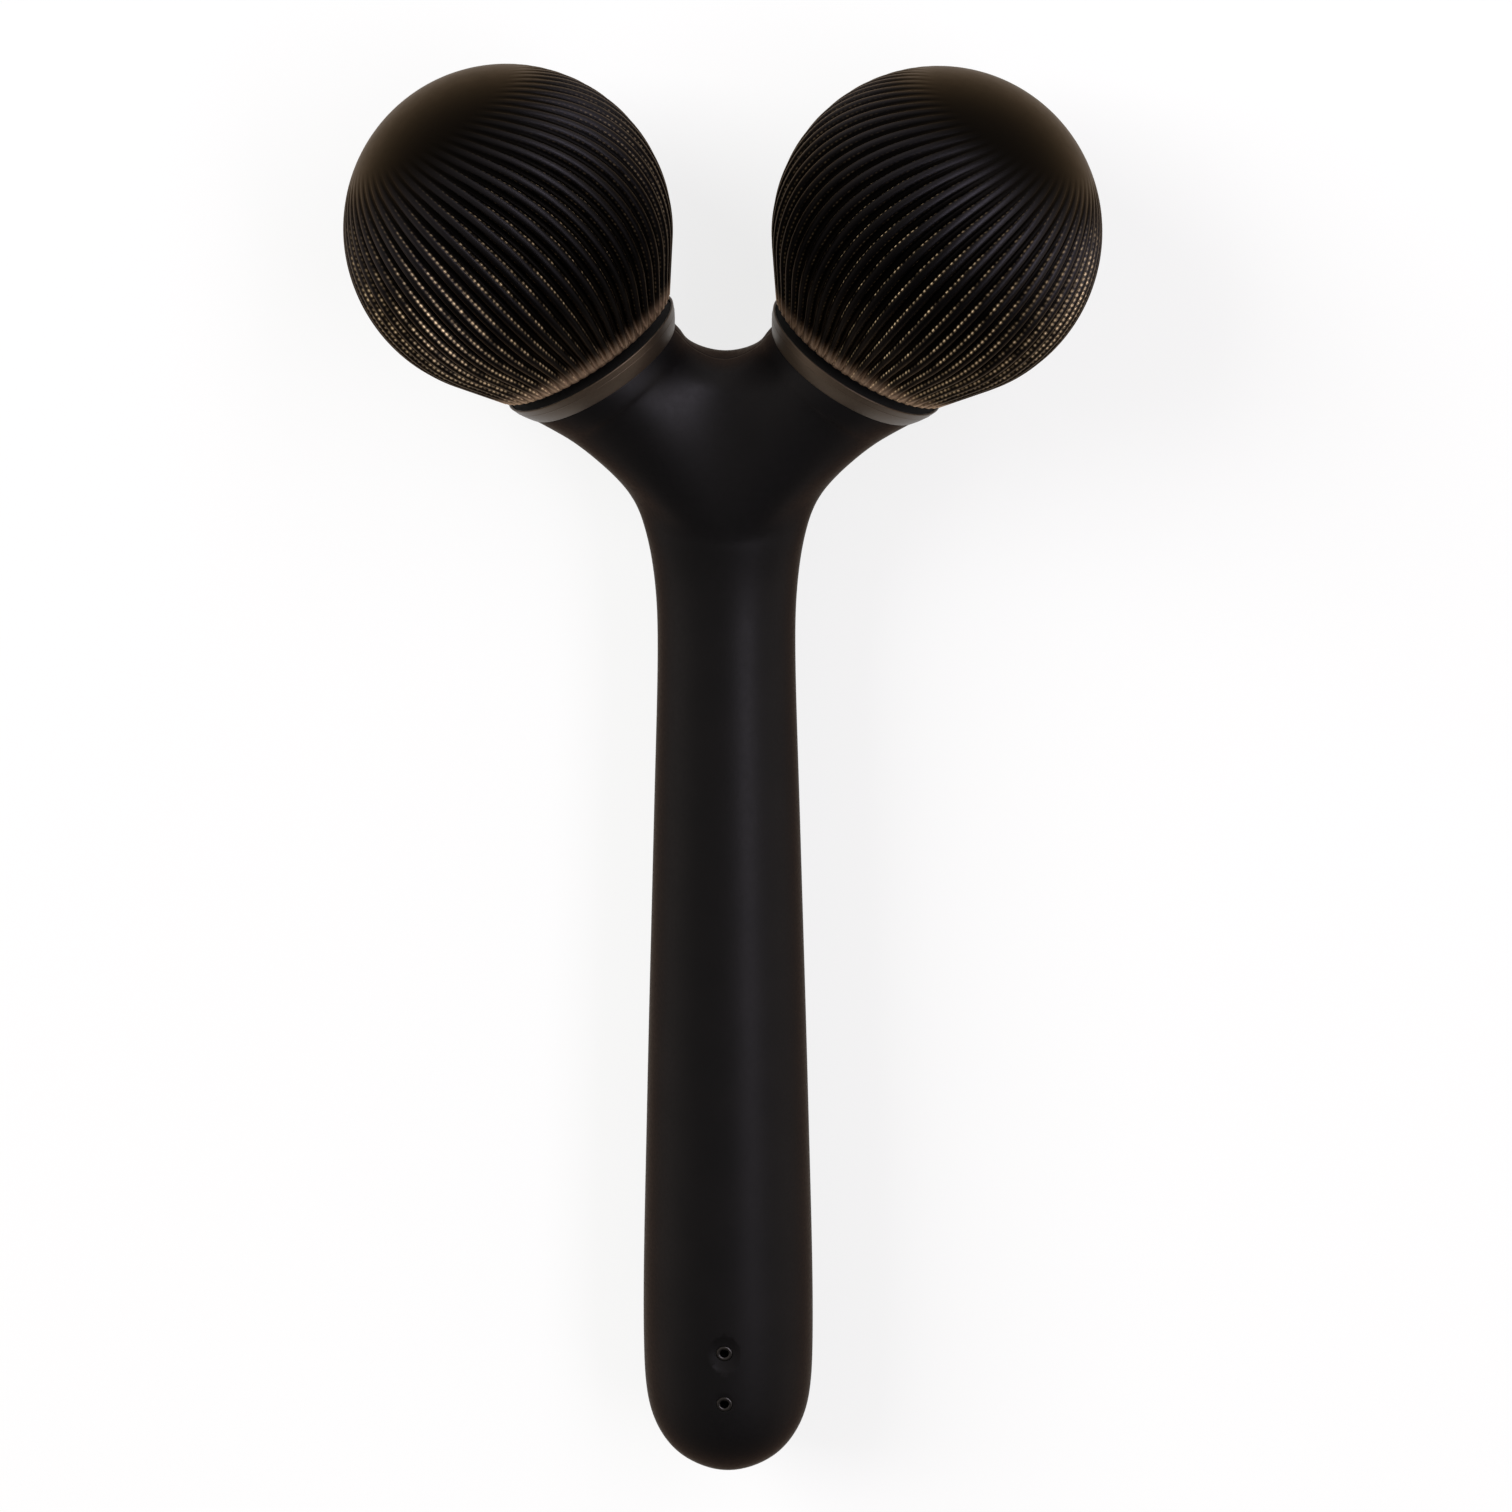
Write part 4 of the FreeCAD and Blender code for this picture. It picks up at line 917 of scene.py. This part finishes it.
def rib_ring_tree():
    """Turns a slice round the Z axis as many times as there are ribs, and welds it into one skin."""
    tree = bpy.data.node_groups.new("rib_ring", "GeometryNodeTree")
    tree.interface.new_socket("Slice", in_out="INPUT", socket_type="NodeSocketGeometry")
    tree.interface.new_socket("Ribs", in_out="INPUT", socket_type="NodeSocketInt")
    tree.interface.new_socket("Finish", in_out="INPUT", socket_type="NodeSocketMaterial")
    tree.interface.new_socket("Ball", in_out="OUTPUT", socket_type="NodeSocketGeometry")
    given = add_node(tree, "NodeGroupInput")
    points = add_node(tree, "GeometryNodePoints", {"Count": given.outputs["Ribs"]})
    index = add_node(tree, "GeometryNodeInputIndex")
    pitch = add_node(tree, "ShaderNodeMath", {0: 2 * math.pi, 1: given.outputs["Ribs"]}, operation="DIVIDE")
    turn = add_node(tree, "ShaderNodeMath", {0: index.outputs["Index"], 1: pitch.outputs["Value"]},
                    operation="MULTIPLY")
    spin = add_node(tree, "FunctionNodeAxisAngleToRotation", {
        "Axis": (0, 0, 1), "Angle": turn.outputs["Value"]})
    ring = add_node(tree, "GeometryNodeInstanceOnPoints", {
        "Points": points.outputs["Points"], "Instance": given.outputs["Slice"],
        "Rotation": spin.outputs["Rotation"]})
    real = add_node(tree, "GeometryNodeRealizeInstances", {"Geometry": ring.outputs["Instances"]})
    weld = add_node(tree, "GeometryNodeMergeByDistance", {
        "Geometry": real.outputs["Geometry"], "Distance": WELD})
    round_shade = add_node(tree, "GeometryNodeSetShadeSmooth", {"Geometry": weld.outputs["Geometry"]})
    dressed = add_node(tree, "GeometryNodeSetMaterial", {
        "Geometry": round_shade.outputs["Geometry"], "Material": given.outputs["Finish"]})
    add_node(tree, "NodeGroupOutput", {"Ball": dressed.outputs["Geometry"]})
    return tree


rib_ring = rib_ring_tree()
socket_of = {socket.name: socket.identifier for socket in rib_ring.interface.items_tree}
print("sockets", list(socket_of))

# %% Bake a ball for each arm
for side in SIDES:
    mesh = rib_mesh.copy()
    if side == "left":
        mesh.transform(Matrix.Scale(-1, 4, Vector((1, 0, 0))))
        mesh.flip_normals()
    ball = bpy.data.objects.new("ribbed_ball_" + side, mesh)
    bpy.context.scene.collection.objects.link(ball)
    ribs = ball.modifiers.new("ribs", "NODES")
    ribs.node_group = rib_ring
    ribs[socket_of["Ribs"]] = RIBS
    ribs[socket_of["Finish"]] = ball_finish
    baked(ball)
    ball.data.transform(arm_place(side, arm_length))
    wear_piece(ball, ball_finish, "roller_" + side, "ball_black", "ball_" + side)

# %% [markdown]
# ## Working parts that stay as CAD
#
# Axles, bushes, washers and what is inside the handle keep their CAD shapes, which are right as they are.
# Each gets the finish of what it is made of, because a view into the gap, or of the part taken to pieces,
# shows them. They differ only in tone, grain and roughness, so the one function for grained finishes serves.

# %% Finishes of the working parts
BRUSHED = (1, 0.2, 1)  # draws the grain out along Y
ROLLED = (1, 0.15, 1)
# two tones, grain in mm (coarser than the real one, so that it shows), roughness, relief, metallic, stretch
FINISHES = {
    # glass-filled nylon: dull black with pale fibre flecks
    "inner_black": grained("glass_filled_nylon_moulded", "#141414", "#222222", 0.4, 0.55, 0.4),
    # centreless-ground stainless steel: bright, with fine grinding marks
    "steel": grained("centreless_ground_stainless_steel", "#9d9d9f", "#bcbcbe", 0.3, 0.28, 0.2, 1.0, BRUSHED),
    # sintered bronze: warm, open-pored and oily
    "bronze": grained("oil_filled_sintered_bronze", "#7d5a2c", "#a37a40", 0.25, 0.42, 0.5, 1.0),
    # acetal: a smooth, waxy black disc
    "washer_black": grained("moulded_acetal", "#1a1a1a", "#242424", 0.8, 0.38, 0.1),
    # nickel strip: pale and rolled, with marks along the strip
    "nickel": grained("rolled_nickel_strip", "#a29d92", "#c4beb2", 0.3, 0.32, 0.2, 1.0, ROLLED),
    # nickel-plated neodymium: a cool mirror, a little clouded
    "magnet": grained("nickel_plated_neodymium", "#9c9da3", "#b6b7bb", 0.9, 0.2, 0.1, 1.0),
    # silicone sleeve: a soft, dusty red
    "lead_sleeve": grained("silicone_wire_sleeve", "#7a1d17", "#93261e", 0.5, 0.6, 0.2),
    # PVC shrink sleeve: glossy blue with a slight orange-peel
    "cell_wrap": grained("pvc_shrink_sleeve", "#1f3f7a", "#284c8e", 1.5, 0.25, 0.3),
    # solder mask over glass fibre: glossy green over a faint weave
    "board_green": grained("solder_mask_on_glass_fibre", "#0c4526", "#135a33", 0.7, 0.3, 0.4),
}
for subpart in frame["record"]["subparts"]:
    finish = FINISHES.get(subpart["material_slot"])
    if finish:
        node = frame["nodes"][subpart["node"]]
        node.data.materials.clear()
        node.data.materials.append(finish)
print(len(FINISHES), "finishes on the working parts")

# %% [markdown]
# ## Table, light and camera
#
# The photograph shows the roller from above on a white sheet, in soft light from the upper left that leaves a
# pale shadow to the lower right. One large lamp gives that light and shadow. It isn't mirrored, because the
# lacquer would show it as a patch. What the lacquer mirrors is a narrow strip lamp at the right and a room
# that is paler at the horizon than overhead, and dark on the near side. The camera stands nearly overhead and
# leans a little towards the balls.

# %% White sheet
PAPER_GLARE = 0.8  # share of the paper's own white in what the camera and reflections see
FIBRE_CLOUD = 40 * MM  # width of the faint clouds in the paper
SHEET_HALF = 5.0  # half the sheet's side, in metres


def paper_sheet():
    """Matte white paper, lit through: it reads white, with a faint fibre cloud and a pale shadow."""
    finish, tree, shader = new_finish("matte_white_paper", Roughness=0.9, Specular_IOR_Level=0.1)
    where = add_node(tree, "ShaderNodeTexCoord")
    fibre = add_node(tree, "ShaderNodeTexNoise", {
        "Vector": where.outputs["Object"], "Scale": 1 / FIBRE_CLOUD, "Detail": 4.0})
    tone = add_node(tree, "ShaderNodeMix", {
        "Factor": fibre.outputs["Fac"], "A": linear("#c8c8c8"), "B": linear("#cbcbcb")}, data_type="RGBA")
    tree.links.new(tone.outputs["Result"], shader.inputs["Base Color"])
    ray = add_node(tree, "ShaderNodeLightPath")
    seen = add_node(tree, "ShaderNodeMath", {
        0: ray.outputs["Is Camera Ray"], 1: ray.outputs["Is Glossy Ray"]}, operation="MAXIMUM")
    seen = add_node(tree, "ShaderNodeMath", {
        0: seen.outputs["Value"], 1: ray.outputs["Is Transmission Ray"]}, operation="MAXIMUM")
    share = add_node(tree, "ShaderNodeMath", {0: seen.outputs["Value"], 1: PAPER_GLARE}, operation="MULTIPLY")
    white = add_node(tree, "ShaderNodeEmission", {"Color": linear("#ffffff"), "Strength": 1.0})
    mixed = add_node(tree, "ShaderNodeMixShader", {
        "Fac": share.outputs["Value"], 1: shader.outputs["BSDF"], 2: white.outputs["Emission"]})
    tree.links.new(mixed.outputs["Shader"], tree.nodes["Material Output"].inputs["Surface"])
    return finish


sheet_corners = [Vector((x * SHEET_HALF, y * SHEET_HALF, 0)) for x, y in ((-1, -1), (1, -1), (1, 1), (-1, 1))]
sheet = new_piece("paper_sheet", sheet_corners, [(0, 1, 2, 3)])
sheet.data.materials.append(paper_sheet())
sheet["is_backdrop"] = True
print("sheet of", 2 * SHEET_HALF, "m")

# %% Lamps
def aimed(place, away):
    """A lamp's or camera's place: Z points away from what it faces, Y is as near the frame's Y as can be."""
    upright = (Vector((0, 1, 0)) - away * away.y).normalized()
    turn = Matrix((upright.cross(away), upright, away)).transposed()
    return Matrix.Translation(place) @ turn.to_4x4()


def soft_lamp(name, place, wide, long, power, tint, mirrored=True):
    """A softbox that faces the roller; one that isn't mirrored lights it without showing in its shine."""
    data = bpy.data.lights.new(name, "AREA")
    data.shape = "RECTANGLE"
    data.size = wide
    data.size_y = long
    data.energy = power
    data.color = linear(tint)[:3]
    lamp = bpy.data.objects.new(name, data)
    lamp.matrix_world = aimed(place, Vector(place).normalized())
    lamp.visible_glossy = mirrored
    bpy.context.scene.collection.objects.link(lamp)
    print("lamp", name, "of", power, "W")


soft_lamp("key_upper_left", (-1.52, 0.94, 1.28), 1.3, 1.3, 74.0, "#ffffff", mirrored=False)
soft_lamp("strip_right", (0.54, 0.3, 0.78), 0.28, 1.4, 9.0, "#f0ecfa")

# %% The room that the roller mirrors
HORIZON = 1.3
ZENITH = 0.44
NEAR_SIDE = 0.2  # share of the light that is left on the near side
world = bpy.data.worlds.new("pale_room_with_dark_ceiling")
world.use_nodes = True
sky = world.node_tree
way = add_node(sky, "ShaderNodeTexCoord")
toward = add_node(sky, "ShaderNodeSeparateXYZ", {"Vector": way.outputs["Generated"]})
height_light = add_node(sky, "ShaderNodeMapRange", {
    "Value": toward.outputs["Z"], "From Min": 0.05, "From Max": 0.75, "To Min": HORIZON, "To Max": ZENITH},
    interpolation_type="SMOOTHSTEP")
side_light = add_node(sky, "ShaderNodeMapRange", {
    "Value": toward.outputs["Y"], "From Min": -0.65, "From Max": -0.25, "To Min": NEAR_SIDE},
    interpolation_type="SMOOTHSTEP")
room_light = add_node(sky, "ShaderNodeMath", {
    0: height_light.outputs["Result"], 1: side_light.outputs["Result"]}, operation="MULTIPLY")
sky.nodes["Background"].inputs["Color"].default_value = linear("#fff3e8")
sky.links.new(room_light.outputs["Value"], sky.nodes["Background"].inputs["Strength"])
bpy.context.scene.world = world
bpy.context.scene.view_settings.view_transform = "Standard"
print("room", world.name)

# %% Camera at the photograph's viewing angle
CAMERA_REACH = 400 * MM
CAMERA_LEAN = math.radians(17.69)
CAMERA_YAW = math.radians(2.3)
CAMERA_AIM = Vector((3.2, 5.15, 9.5)) * MM
LENS = 86.58
SENSOR = 36.0

back = Vector((math.sin(CAMERA_YAW) * math.cos(CAMERA_LEAN), math.sin(CAMERA_LEAN),
               math.cos(CAMERA_YAW) * math.cos(CAMERA_LEAN)))
lens = bpy.data.cameras.new("overhead")
lens.lens = LENS
lens.sensor_width = SENSOR
lens.clip_start = 0.01
camera = bpy.data.objects.new("overhead", lens)
camera.matrix_world = aimed(CAMERA_AIM + back * CAMERA_REACH, back)
bpy.context.scene.collection.objects.link(camera)
bpy.context.scene.camera = camera
print("camera at", [round(value / MM) for value in camera.matrix_world.translation])

# %% The visual box
low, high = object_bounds()
print("visual box in mm", [round((b - a) / MM, 2) for a, b in zip(low, high)])
